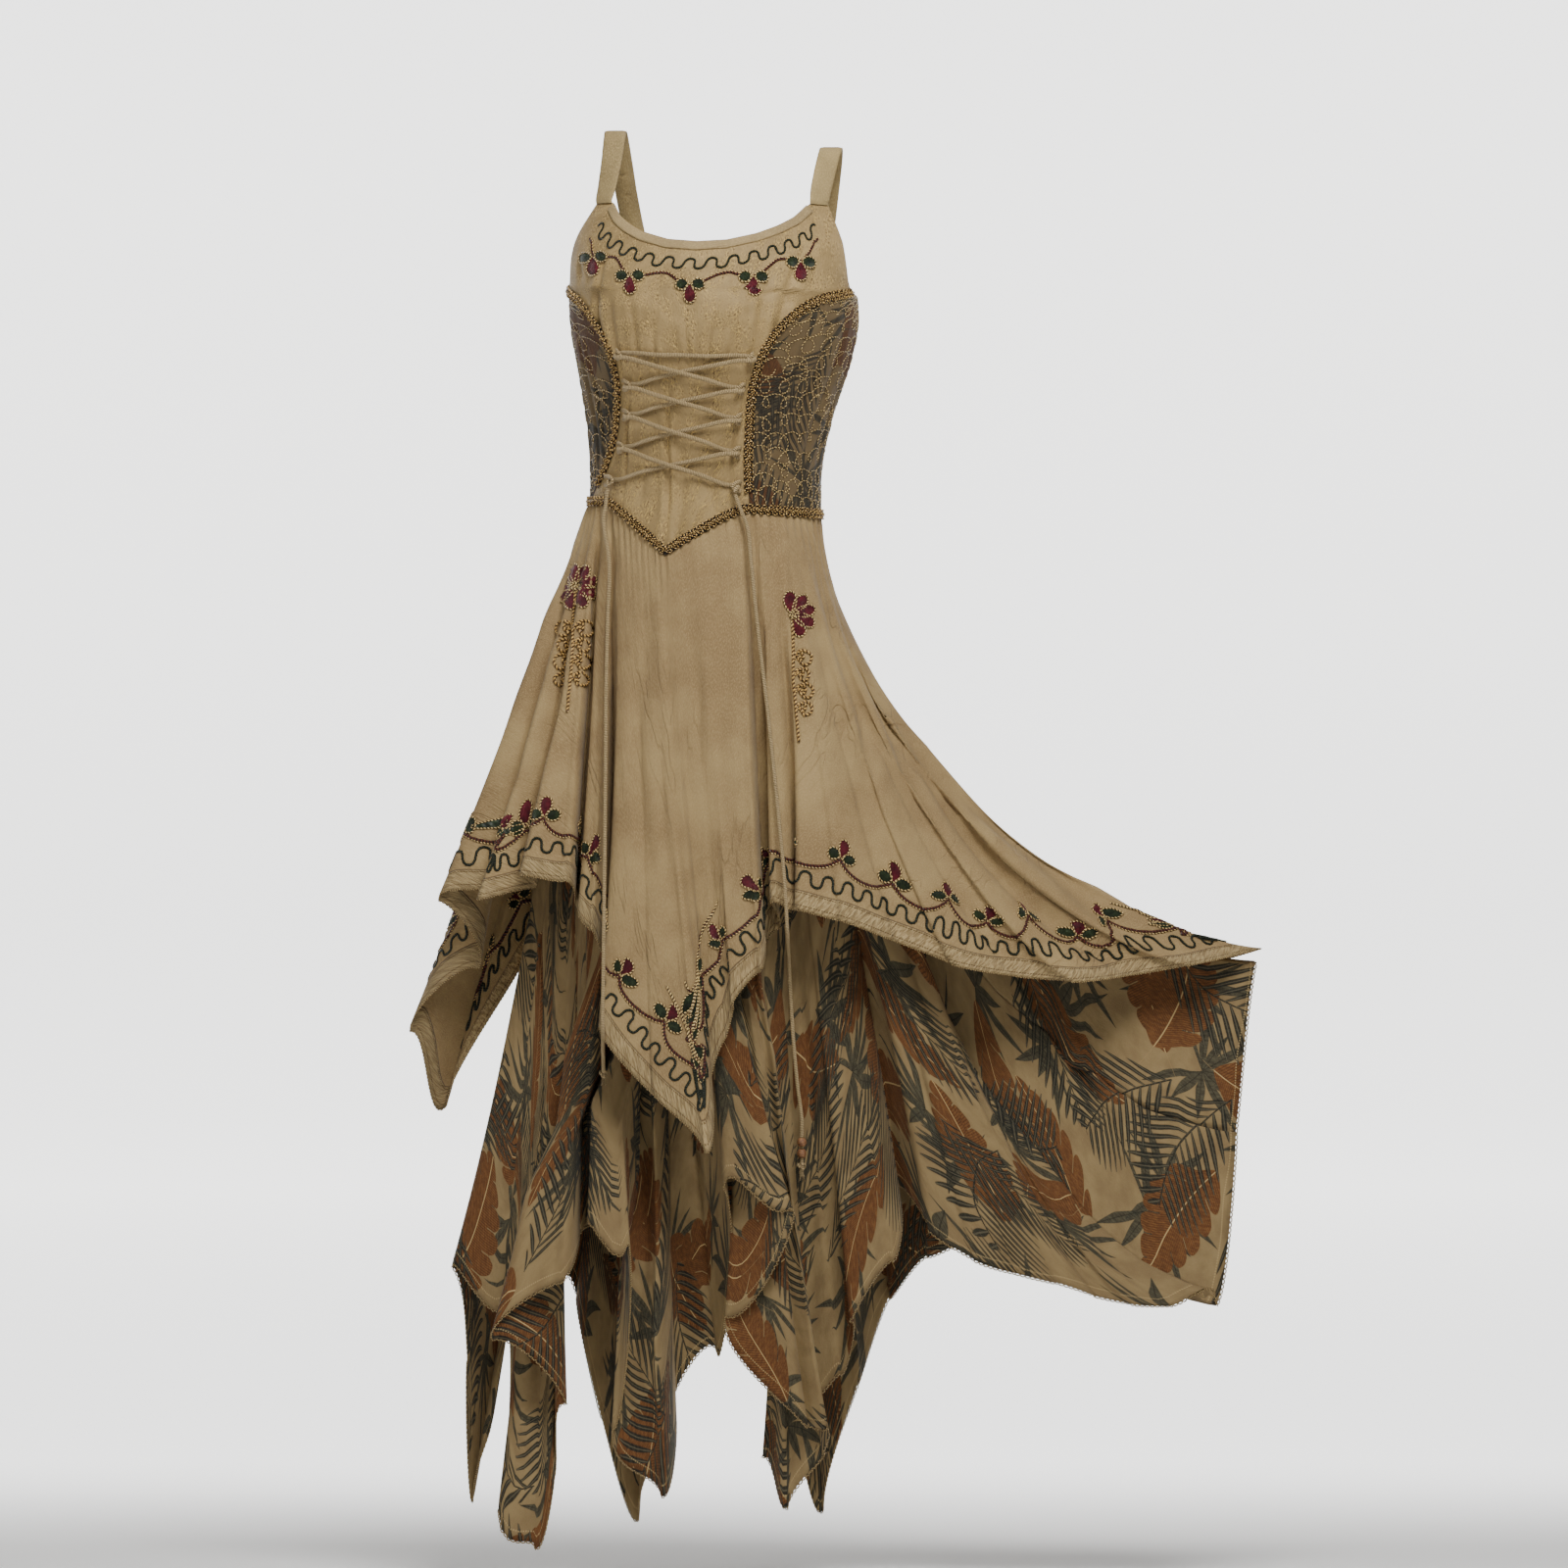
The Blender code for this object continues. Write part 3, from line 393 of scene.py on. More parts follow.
# %% [markdown]
# Two layers of cloth can't be in one place. Where the overskirt covers it, the underskirt is drawn in
# towards the waist's centre line, by a share that is evened out so that it leaves no step.
# %% The underskirt kept inside


def keep_inside(under, over):
    """The lower skirt drawn in wherever the upper one covers it, and for a little way below its hem."""
    below = [over[-1] - np.array([0, 0, drop]) for drop in range(8, 65, 8)]
    fine = np.concatenate([over.reshape(-1, 3), *below])
    polar = np.degrees(np.arctan2(fine[:, 0] - WAIST_CENTRE[0], -fine[:, 1]))
    reach = np.linalg.norm(fine[:, :2] - WAIST_CENTRE, axis=1)
    arms = under[..., :2] - WAIST_CENTRE
    lengths = np.linalg.norm(arms, axis=-1)
    share = np.ones(lengths.shape)
    for index in np.ndindex(len(under) - 1, under.shape[1]):
        here = math.degrees(math.atan2(arms[index][0], -under[index][1]))
        near = ((np.abs((polar - here + 180) % 360 - 180) < max(1.0, 800 / lengths[index]))
                & (np.abs(fine[:, 2] - under[index][2]) < min(28, 3600 / lengths[index])))
        if near.any():
            share[index] = min(1.0, (reach[near].min() * 0.92 - 2) / lengths[index])
    least = np.min([np.roll(share, step, axis=1) for step in (-2, -1, 0, 1, 2)], axis=0)
    share = np.mean([np.roll(least, step, axis=1) for step in (-2, -1, 0, 1, 2)], axis=0)
    share[0] = share[-1] = 1
    return share

# %% [markdown]
# What the finishes need to know about a sheet: the lengths along it and up it, and the way it faces.
# %% Lengths and facings


def spans(grid):
    """The length along each row from its first column, and up each column from its last row."""
    across = np.cumsum(np.linalg.norm(np.diff(grid, axis=1), axis=2), axis=1)
    along = np.concatenate([np.zeros((len(grid), 1)), across], axis=1)
    steps = np.linalg.norm(np.diff(grid, axis=0), axis=2)
    up = np.concatenate([np.cumsum(steps[::-1], axis=0)[::-1], np.zeros((1, grid.shape[1]))])
    return along, up


def normals(grid, closed=True):
    """Outward normals of a grid of points."""
    down = np.gradient(grid, axis=0)
    if closed:
        after, before = np.roll(grid, -1, axis=1) - grid, grid - np.roll(grid, 1, axis=1)
    else:
        after = before = np.gradient(grid, axis=1)
    return unit(unit(np.cross(down, after)) + unit(np.cross(down, before)))

# %% [markdown]
# Both skirts are read at fine columns. The drawing-in is worked out on the coarse grid that the solid
# has, and only read at the fine one, so that the fine sheet keeps to the solid's form.
# %% Both skirts


def angle_counts(folds, pitch):
    """How many columns each fold gets, from its width at the waist in degrees."""
    return np.maximum(1, np.round(fold_gaps(folds) / pitch)).astype(int)


def read_share(share, counts, coarse_counts, rows):
    """The drawing-in of the coarse grid, read at a fine grid's columns and rows."""
    index = np.concatenate([np.arange(n) / n * m + k for n, m, k in
                            zip(counts, coarse_counts, np.concatenate([[0], np.cumsum(coarse_counts)[:-1]]))])
    closed = np.concatenate([share, share[:, :1]], axis=1)
    fine_cols = np.array([np.interp(index, np.arange(closed.shape[1]), row) for row in closed])
    known = np.linspace(0, 1, len(share))
    return np.stack([np.interp(rows, known, fine_cols[:, c]) for c in range(len(index))], axis=1)


def coarse_skirt(folds, inset, late, pitch, rows):
    """A skirt at columns about a pitch of waist degrees apart, down evenly spaced rows."""
    return skirt(folds, angle_counts(folds, pitch), inset, np.linspace(0, 1, rows), late)


over_rows = np.linspace(0, 1, 96)
under_rows = np.linspace(0, 1, 112)
over_counts, under_counts = fine_counts(OVERSKIRT, 8.0, 2.4), fine_counts(UNDERSKIRT, 8.5, 6.0)
over = skirt(OVERSKIRT, over_counts, OVER_INSET, over_rows, OVER_LATE)
coarse = coarse_skirt(UNDERSKIRT, UNDER_INSET, UNDER_LATE, SOLID_PITCH, 13)
cover = coarse_skirt(OVERSKIRT, OVER_INSET, OVER_LATE, 1.5, 60)
share = keep_inside(coarse, cover)
under = skirt(UNDERSKIRT, under_counts, UNDER_INSET, under_rows, UNDER_LATE)
drawn = read_share(share, under_counts, angle_counts(UNDERSKIRT, SOLID_PITCH), under_rows)
under[..., :2] = WAIST_CENTRE + (under[..., :2] - WAIST_CENTRE) * drawn[..., None]
print("overskirt", over.shape[:2], "underskirt", under.shape[:2])

# %% [markdown]
# Washed rayon keeps its creases. Each is a soft trough with a low ridge on either side, placed one by one
# as a line from a place near the waist to one nearer the hem; no two are alike in length or depth. The
# overskirt is also drawn up into the waist seam in small uneven gathers that open out below it.
# %% Creases and gathers
Crease = namedtuple("Crease", "angle start end_angle end wide deep")
OVER_CREASES = table(
    Crease,
    (-3, 0.04, -1.5, 0.86, 8, 2.6), (-15, 0.08, -25, 0.78, 12, 3.0), (22, 0.10, 18, 0.9, 13, 2.8),
    (-9, 0.30, -12, 0.62, 5, 1.0), (9, 0.22, 8, 0.55, 6, 1.2), (-34, 0.05, -40, 0.45, 9, 2.4),
    (103, 0.26, 91, 0.88, 13, 5.5), (107, 0.42, 101, 0.94, 15, 6.0), (88, 0.05, 67, 0.70, 11, 4.2),
    (80, 0.16, 73, 0.52, 8, 2.4), (96, 0.15, 82, 0.78, 12, 4.6), (107, 0.76, 106, 0.97, 9, 3.0),
    (60, 0.06, 58, 0.50, 8, 2.8), (47, 0.08, 45, 0.56, 7, 2.2), (66, 0.10, 62, 0.34, 6, 2.0),
    (-58, 0.08, -50, 0.70, 9, 3.2), (-68, 0.10, -60, 0.74, 10, 3.6), (-46, 0.04, -44, 0.5, 7, 2.0),
    (-76, 0.12, -72, 0.60, 10, 3.0), (112, 0.12, 118, 0.82, 13, 5.0), (122, 0.08, 128, 0.66, 11, 3.6),
    (133, 0.20, 131, 0.88, 12, 4.4), (148, 0.06, 152, 0.72, 11, 3.4), (163, 0.14, 160, 0.55, 9, 2.6),
    (176, 0.05, 178, 0.84, 10, 2.8), (191, 0.10, 187, 0.70, 12, 3.4), (207, 0.06, 211, 0.62, 9, 2.8),
    (224, 0.12, 220, 0.80, 12, 3.8), (241, 0.07, 246, 0.58, 10, 3.0), (258, 0.16, 255, 0.85, 11, 3.4))
UNDER_CREASES = table(
    Crease,
    (107, 0.62, 103.5, 0.90, 10, 4.0), (106, 0.70, 102, 0.985, 12, 5.0), (92, 0.45, 78, 0.965, 12, 4.6),
    (99, 0.55, 92, 0.96, 11, 4.0), (68, 0.50, 66, 0.95, 9, 3.2), (84, 0.72, 86, 0.97, 9, 3.0),
    (-77, 0.45, -62, 0.86, 10, 3.2), (-70, 0.60, -67, 0.95, 8, 2.4), (45, 0.45, 41, 0.92, 9, 3.0),
    (28, 0.55, 24, 0.93, 8, 2.6), (-31, 0.60, -29, 0.94, 8, 2.4), (-13, 0.62, -8, 0.90, 9, 2.8),
    (113, 0.50, 118, 0.94, 12, 4.2), (127, 0.55, 125, 0.96, 10, 3.4), (140, 0.48, 144, 0.90, 9, 2.8),
    (158, 0.60, 156, 0.95, 9, 3.0), (176, 0.52, 179, 0.92, 10, 3.0), (199, 0.60, 196, 0.95, 9, 2.6),
    (215, 0.50, 219, 0.90, 10, 3.4), (238, 0.58, 235, 0.94, 9, 2.8), (256, 0.50, 258, 0.92, 10, 3.0))
GATHER_PERIOD, GATHER_DEPTH = 9.5, 1.5


def press(grid, steps, rows, creases):
    """The same cloth with its creases pressed in."""
    along = spans(grid)[0]
    index = np.arange(len(steps))
    push = np.zeros(grid.shape[:2])
    for crease in creases:
        part = (rows - crease.start) / (crease.end - crease.start)
        fade = np.sin(math.pi * np.clip(part, 0, 1)) ** 0.7
        for row in np.flatnonzero(fade > 0.01):
            angle = crease.angle + (crease.end_angle - crease.angle) * part[row]
            here = np.interp(np.interp(angle, steps, index), index, along[row])
            sway = crease.wide * 0.5 * math.sin(9 * part[row] + crease.angle)
            far = np.abs(along[row] - here + sway) / crease.wide
            push[row] += crease.deep * fade[row] * (0.45 * np.exp(-(far - 1.7) ** 2) - np.exp(-far**2))
    return grid + normals(grid) * push[..., None]


def gather(grid, rows):
    """The same cloth drawn up into its first row."""
    run = run_along(grid[1])
    phase = 2 * math.pi * run / GATHER_PERIOD + 1.1 * np.sin(run / 23) + 0.7 * np.sin(run / 41 + 1)
    reach = 0.17 + 0.07 * np.sin(run / 17) + 0.05 * np.sin(run / 7.3)
    fade = np.clip(1 - rows[:, None] / reach, 0, 1) ** 1.2 * np.clip(rows[:, None] / 0.012, 0.3, 1)
    return grid + normals(grid) * (GATHER_DEPTH * np.sin(phase) * fade)[..., None]


over = gather(press(over, fold_steps(OVERSKIRT, over_counts), over_rows, OVER_CREASES), over_rows)
under = press(under, fold_steps(UNDERSKIRT, under_counts), under_rows, UNDER_CREASES)
print(len(OVER_CREASES), "creases in the overskirt,", len(UNDER_CREASES), "in the underskirt")


# %% [markdown]
# Cloth is thin, so it is drawn as a grid of points with its own UV map, in metres, and then given its
# thickness by a Solidify modifier that is applied at once. A cloth simulation would also give folds, but
# not these folds in these places.
# %% Meshes from grids


def finish_piece(thing, *nodes, slot=None):
    """A piece hangs on the dress's one body and may stand for solids."""
    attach(thing, "root")
    if nodes:
        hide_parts(*nodes)
    return thing


def mesh_piece(name, points, faces, uv=None):
    """A mesh from points in millimetres, with the corners' UVs in metres."""
    mesh = bpy.data.meshes.new(name)
    mesh.from_pydata(np.asarray(points, float) * MM, [], faces)
    mesh.polygons.foreach_set("use_smooth", np.ones(len(mesh.polygons), bool))
    if uv is not None:
        layer = mesh.uv_layers.new(name="cloth")
        layer.data.foreach_set("uv", np.asarray(uv, np.float32).ravel())
    mesh.update()
    piece = bpy.data.objects.new(name, mesh)
    bpy.context.scene.collection.objects.link(piece)
    return piece


def thicken(piece):
    """Gives a sheet its two faces and applies them."""
    shell = piece.modifiers.new("thickness", "SOLIDIFY")
    shell.thickness, shell.offset = CLOTH * MM, 0.0
    bpy.context.view_layer.objects.active = piece
    piece.select_set(True)
    bpy.ops.object.modifier_apply(modifier=shell.name)
    piece.select_set(False)


def sheet_piece(name, grid, u, v):
    """Cloth from a grid. u is given for the left and the right side of every strip of faces."""
    rows, cols = grid.shape[:2]
    r, c = np.meshgrid(np.arange(rows - 1), np.arange(cols - 1), indexing="ij")
    a, b, d, e = r * cols + c, r * cols + c + 1, (r + 1) * cols + c + 1, (r + 1) * cols + c
    faces = np.stack([a, e, d, b], axis=-1).reshape(-1, 4)
    left, right = u
    corner = np.stack([np.stack([left[:-1], v[:-1, :-1]], -1), np.stack([left[1:], v[1:, :-1]], -1),
                       np.stack([right[1:], v[1:, 1:]], -1), np.stack([right[:-1], v[:-1, 1:]], -1)], axis=2)
    piece = mesh_piece(name, grid.reshape(-1, 3), faces.tolist(), corner.reshape(-1, 2) * MM)
    thicken(piece)
    return piece


# %% [markdown]
# Each skirt is one front piece and one back piece, sewn at the sides, as its solids are. The folds
# that carry the side seams are the same ones.
# %% The two skirts, front and back
def half_columns(folds, counts, left, right):
    """The columns of the front piece and of the back piece, between the two side folds."""
    at = {f.angle: int(k) for f, k in zip(folds, np.concatenate([[0], np.cumsum(counts)[:-1]]))}
    total = int(counts.sum())
    return list(range(at[left], total)) + list(range(at[right] + 1)), list(range(at[right], at[left] + 1))


def cloth_u(along, panels):
    """Widths across the cloth, measured in each row from the middle of the panel that the strip is in."""
    middle = np.concatenate([np.full(end - start, (start + end) // 2) for start, end in panels])
    shift = along[-1][middle]
    zero = along[:, middle]
    return along[:, :-1] - zero + shift, along[:, 1:] - zero + shift


def hem_lean(grid, reach=45.0):
    """For each column, the sine and cotangent of its angle with the hem, evened out along the hem."""
    hem = unit(np.gradient(grid[-1], axis=0))
    rise = unit(grid[-5] - grid[-1])
    cosine = np.sum(hem * rise, axis=1)
    sine = np.clip(np.linalg.norm(np.cross(hem, rise), axis=1), 0.45, 1)
    run = run_along(grid[-1])
    weight = np.exp(-((run[:, None] - run[None, :]) / reach * 2) ** 2) * np.gradient(run)[None, :]
    weight /= weight.sum(axis=1, keepdims=True)
    return weight @ sine, weight @ np.clip(cosine / sine, -1.2, 1.2)


PANELS = {("overskirt", "front"): [], ("overskirt", "back"): [],
          ("underskirt", "front"): [-64, -47, -20, 23, 40, 57, 108],
          ("underskirt", "back"): [155, 180, 203, 228]}
SLOTS = {"overskirt": "overskirt_cloth", "underskirt": "underskirt_print"}
HEM_REACH = 160
skirt_pieces = {}
for layer, grid, folds, counts, sides in (("overskirt", over, OVERSKIRT, over_counts, OVER_SIDES),
                                          ("underskirt", under, UNDERSKIRT, under_counts, UNDER_SIDES)):
    waist_angle = fold_steps(folds, counts)
    for part_name, cols in zip(("front", "back"), half_columns(folds, counts, *sides)):
        cut = grid[:, cols]
        along, up = spans(cut)
        lean = hem_lean(cut)[0]
        near = np.clip(up / HEM_REACH, 0, 1)
        height = up * (lean + (1 - lean) * near * near * (3 - 2 * near))
        inner = [int(np.argmin(np.abs(waist_angle[cols] - a))) for a in PANELS[layer, part_name]]
        seams = [0, *inner, len(cols) - 1]
        u = cloth_u(along, list(zip(seams, seams[1:])))
        piece = sheet_piece(f"{layer}_{part_name}_cloth", cut, u, height)
        finish_piece(piece, f"{layer}_{part_name}", slot=SLOTS[layer])
        skirt_pieces[layer, part_name] = piece, cut
        print(piece.name, len(piece.data.polygons) * 2, "triangles, hem", round(along[-1, -1]), "mm")

# %% [markdown]
# The bodice is four pieces of cloth on the body's form: the jacquard front, two side panels and the
# plain back. Each is read from the same tables as its solid, at points a few millimetres apart.
# %% The bodice
FRONT_TOP, UNDERARM = 62, 145
HALF_GAP = math.degrees(SEAM_GAP / 2 / 115)


def front_grid(rows, cols):
    """Angles and drops of the front, from the neckline and armholes to the waist's point."""
    drops = np.linspace(FRONT_TOP, WAIST_DROP, rows)
    part = np.linspace(0, 1, cols)
    left, right = side_angles(drops, "left") + HALF_GAP, side_angles(drops, "right") - HALF_GAP
    angle = left[:, None] + (right - left)[:, None] * part
    upper = np.clip((UNDERARM - drops) / (UNDERARM - FRONT_TOP), 0, 1)[:, None]
    lower = np.clip((drops - 200) / (WAIST_DROP - 200), 0, 1)[:, None]
    top = np.interp(np.abs(63 * (2 * part - 1)), column(NECKLINE, "angle"), column(NECKLINE, "drop"))
    return angle, drops[:, None] + (top - FRONT_TOP) * upper + (waist_drop(angle[-1]) - WAIST_DROP) * lower


def side_grid(name, rows, cols):
    """Angles and drops of a side panel, from the underarm to the waist."""
    sign = -1 if name == "left" else 1
    low = np.linspace(UNDERARM, WAIST_DROP, rows)
    start = side_angles(low, name) + sign * HALF_GAP
    across = np.linspace(0, 1, cols)
    angle = start[:, None] + (sign * (SIDE_SEAM - HALF_GAP) - start)[:, None] * across
    rise = (WAIST_DROP - BACK_EDGE[0].drop) / (WAIST_DROP - UNDERARM) - 1
    level = WAIST_DROP - (WAIST_DROP - low)[:, None] * (1 + across * rise)
    return angle, level + SEAM_GAP / 2 * (1 - across) * (low < 165)[:, None]


def back_grid(rows, cols):
    """Angles and drops of the back, from its upper edge to the waist."""
    angle = np.linspace(SIDE_SEAM + HALF_GAP, 360 - SIDE_SEAM - HALF_GAP, cols)
    top = np.interp(180 - np.abs(180 - angle), column(BACK_EDGE, "angle"), column(BACK_EDGE, "drop"))
    return np.broadcast_to(angle, (rows, cols)), top + np.linspace(0, 1, rows)[:, None] * (WAIST_DROP - top)

# %% [markdown]
# The bodice is taken in by soft tucks under the bust, at the waist and along its seams. They are troughs
# in the cloth, placed one by one, since no two pull alike.
# %% Tucks and the bodice's pieces
Tuck = namedtuple("Tuck", "angle drop end_angle end_drop wide deep")
FRONT_TUCKS = table(
    Tuck,
    (-2.5, 232, -1.5, 430, 3.0, 3.0), (5, 285, 3, 440, 8, 2.4), (-22.5, 236, -29, 366, 2.6, 2.2),
    (31, 206, 31, 350, 2.4, 2.0), (-43, 104, -33, 236, 4.0, 3.0), (-32, 140, -26, 246, 3.4, 2.0),
    (-21, 136, -18, 240, 3.0, 1.6), (-11, 158, -9, 250, 2.6, 1.3), (3, 168, 4, 238, 2.4, 1.2),
    (14, 146, 12, 240, 3.0, 1.6), (24, 130, 21, 244, 3.4, 2.0), (34, 118, 29, 236, 3.6, 2.4),
    (46, 104, 36, 218, 4.4, 2.8), (58, 108, 52, 150, 5, 1.4), (-60, 108, -56, 152, 5, 1.4),
    (-14, 300, -17, 372, 5, 1.2), (20, 296, 22, 372, 5, 1.2), (11, 226, 13, 300, 4, 0.8))
LEFT_TUCKS = table(
    Tuck,
    (-60, 160, -48, 350, 4, 1.8), (-74, 148, -60, 352, 5, 2.0), (-86, 150, -76, 356, 5, 1.8),
    (-98, 152, -92, 350, 5, 1.6), (-52, 190, -40, 330, 3, 1.4), (-106, 160, -103, 340, 5, 1.4))
RIGHT_TUCKS = table(
    Tuck,
    (56, 158, 46, 352, 4, 1.9), (68, 148, 58, 356, 5, 2.0), (80, 150, 72, 350, 5, 1.8),
    (94, 152, 88, 352, 5, 1.6), (49, 190, 42, 300, 3, 1.4), (105, 158, 102, 344, 5, 1.4))
BACK_TUCKS = table(
    Tuck,
    (130, 150, 138, 350, 6, 1.4), (158, 140, 162, 352, 6, 1.3), (180, 150, 180, 356, 5, 1.2),
    (203, 142, 199, 350, 6, 1.3), (229, 150, 222, 352, 6, 1.4))


def tucked(angle, drop, tucks):
    """How far the cloth stands off the body's form where it is tucked."""
    high = np.zeros(np.broadcast(angle, drop).shape)
    for tuck in tucks:
        part = (drop - tuck.drop) / (tuck.end_drop - tuck.drop)
        line = tuck.angle + (tuck.end_angle - tuck.angle) * part + 0.8 * np.sin(7 * part + tuck.angle)
        far = np.abs(np.radians(angle - line)) * 112 / tuck.wide
        fade = np.sin(math.pi * np.clip(part, 0, 1))
        high += tuck.deep * fade * (0.5 * np.exp(-(far - 1.7) ** 2) - np.exp(-far**2))
    return high


def bodice_piece(name, angle, drop, node, slot, tucks):
    """One piece of the bodice, with its widths measured from the middle of each row."""
    grid = off_body(angle, drop, tucked(angle, drop, tucks)[..., None])
    if angle[0, 0] > angle[0, -1]:
        grid = grid[:, ::-1]
    along, up = spans(grid)
    middle = grid.shape[1] // 2
    across = along - along[:, middle:middle + 1]
    piece = sheet_piece(name, grid, (across[:, :-1], across[:, 1:]), up)
    finish_piece(piece, node, slot=slot)
    return piece, grid


front_cloth, front_points = bodice_piece(
    "front_jacquard", *front_grid(130, 130), "front_bodice", "brocade", FRONT_TUCKS)
left_cloth, left_points = bodice_piece(
    "side_panel_left_cloth", *side_grid("left", 100, 60), "side_panel_left", "printed_panel", LEFT_TUCKS)
right_cloth, right_points = bodice_piece(
    "side_panel_right_cloth", *side_grid("right", 100, 60), "side_panel_right", "printed_panel", RIGHT_TUCKS)
back_cloth, back_points = bodice_piece(
    "back_bodice_cloth", *back_grid(60, 60), "back_bodice", "back_cloth", BACK_TUCKS)
print("bodice", front_points.shape[:2], left_points.shape[:2], right_points.shape[:2], back_points.shape[:2])

# %% [markdown]
# Everything sewn on is a line carried over the cloth: a rope follows a line with a flattened round
# section, and several ropes of one finish are joined in one mesh.
# %% Ropes and strips along a line


def frames(line, out):
    """The direction along a line, across it and off the cloth at each of its points."""
    along = unit(np.gradient(line, axis=0))
    across = unit(np.cross(along, out))
    return along, across, unit(np.cross(across, along))


def tube_faces(count, ring):
    """The faces of a tube of rings, closed at both ends."""
    faces = [(r * ring + k, r * ring + (k + 1) % ring, (r + 1) * ring + (k + 1) % ring, (r + 1) * ring + k)
             for r in range(count - 1) for k in range(ring)]
    return faces + [tuple(reversed(range(ring))), tuple((count - 1) * ring + k for k in range(ring))]


def rope(line, out, width, high, sides=6):
    """Points, faces and UVs of a tube with an oval section along a line."""
    line, out = np.asarray(line, float), np.broadcast_to(np.asarray(out, float), np.shape(line))
    _, across, off = frames(line, out)
    ring = np.linspace(0, 2 * math.pi, sides, endpoint=False)
    points = (line[:, None] + across[:, None] * (np.cos(ring) * width / 2)[None, :, None]
              + off[:, None] * (np.sin(ring) * high / 2)[None, :, None])
    run = run_along(line)
    uv = []
    for start, end in zip(run, run[1:]):
        for k in range(sides):
            low, up = k / sides, (k + 1) / sides
            uv += [(start, low), (start, up), (end, up), (end, low)]
    uv += [(0, 0)] * sides + [(run[-1], 0)] * sides
    return points.reshape(-1, 3), tube_faces(len(line), sides), np.array(uv) * (MM, 1)


def join(name, parts):
    """One mesh from several sets of points, faces and UVs."""
    points, faces, uv, base = [], [], [], 0
    for more, new, corners in parts:
        points.append(more)
        faces += [tuple(base + k for k in face) for face in new]
        uv.append(corners)
        base += len(more)
    return mesh_piece(name, np.concatenate(points), faces, np.concatenate(uv))


# %% [markdown]
# The lace is a flat braided cord. It runs through ten loops of folded cloth, crosses four times, and
# its two ends hang free down the skirt. The right end carries two wooden beads over its knot.
# %% The lace's route


def lacing_route():
    """Points of the crossed lace between the two lowest loops, and where each end leaves it."""
    halves = []
    for start in ("left", "right"):
        points = []
        for number, loop in enumerate(LOOPS):
            side = start if number % 2 == 0 else {"left": "right", "right": "left"}[start]
            sign = -1 if side == "left" else 1
            tip = getattr(loop, side)
            points += [off_body(tip - sign * 4.5, loop.drop - 1.5, UNDER),
                       off_body(tip + sign * 0.5, loop.drop - 0.8, UNDER),
                       off_body(tip + sign * 1.7, loop.drop, TURN)]
            if number == len(LOOPS) - 1:
                points += [off_body(tip + sign * 0.6, loop.drop + 1.5, OVER),
                           off_body(tip - sign * 0.3, loop.drop + 6, OVER - 0.3)]
                continue
            points += [off_body(tip + sign * 0.5, loop.drop + 0.8, OVER),
                       off_body(tip - sign * 4.5, loop.drop + 1.5, OVER)]
            after = LOOPS[number + 1]
            far = getattr(after, "right" if side == "left" else "left")
            cross = TOP_CROSS if side == "left" else LOW_CROSS
            for part in (0.27, 0.5, 0.73):
                level = cross if part == 0.5 else (OVER * (1 - part) + UNDER * part + cross) / 2
                drop = loop.drop + (after.drop - loop.drop) * part
                points.append(off_body(tip + (far - tip) * part, drop, level))
        halves.append(points)
    first = LOOPS[0]
    bar = [off_body(first.left * (1 - s) + first.right * s, first.drop, UNDER + 0.8) for s in (0.3, 0.5, 0.7)]
    return halves[0][::-1] + bar + halves[1], halves[0][-1], halves[1][-1]


def hang(points, cloth):
    """A free end's line, standing off the cloth behind it."""
    surface = cloth.reshape(-1, 3)
    line = []
    for point in points:
        near = (np.abs(surface[:, 0] - point.across) < 10) & (np.abs(surface[:, 2] + point.drop) < 18)
        behind = surface[near, 1].min() if near.any() else -92.0
        line.append([point.across, behind - point.clear - LACE / 2, -point.drop])
    return line


crossed, leave_left, leave_right = lacing_route()
hang_cloth = np.concatenate([grid.reshape(-1, 3) for grid in (
    coarse_skirt(OVERSKIRT, OVER_INSET, OVER_LATE, SOLID_PITCH, 12), cover,
    coarse_skirt(UNDERSKIRT, UNDER_INSET, UNDER_LATE, 1.5, 80))])
ends = {}
for name, leave, first, rest in (("left", leave_left, LEFT_OVER, LEFT_END),
                                 ("right", leave_right, RIGHT_OVER, RIGHT_END)):
    line = hang(rest, hang_cloth)
    if name == "right":
        for row in line[-3:]:
            row[1] = line[-4][1]
        line[-3][0] = line[-2][0] = line[-1][0]
    start = leave + unit(off_body(first[0].angle, first[0].drop, first[0].high) - leave) * 1.8
    ends[name] = route([start] + [off_body(row.angle, row.drop, row.high) for row in first] + line, 4)
    print("free end", name, round(run_along(ends[name])[-1]), "mm")

# %% [markdown]
# The cord's section is a flattened oval whose flat side lies on the cloth, so each point needs to know
# which way the cloth faces. The free ends face the viewer.
# %% The lace and its loops
crossed_line = route(crossed, 2.0)
x, y, _ = crossed_line.T
towards = unit(np.stack([(x - WAIST_CENTRE[0]) * 0.9, y, 0 * x], axis=1))
lacing = join("crossed_lace", [rope(crossed_line, towards, LACE * 1.15, LACE * 0.62, 8)])
print("crossed lace", round(run_along(crossed_line)[-1]), "mm")
finish_piece(lacing, "lacing", slot="lace_cord")

free_ends = {}
for name, line in ends.items():
    cord = join(f"free_lace_{name}", [rope(line, (0, -1, 0), LACE, LACE * 0.66, 8)])
    finish_piece(cord, f"lace_end_{name}", slot="lace_cord")
    free_ends[name] = cord

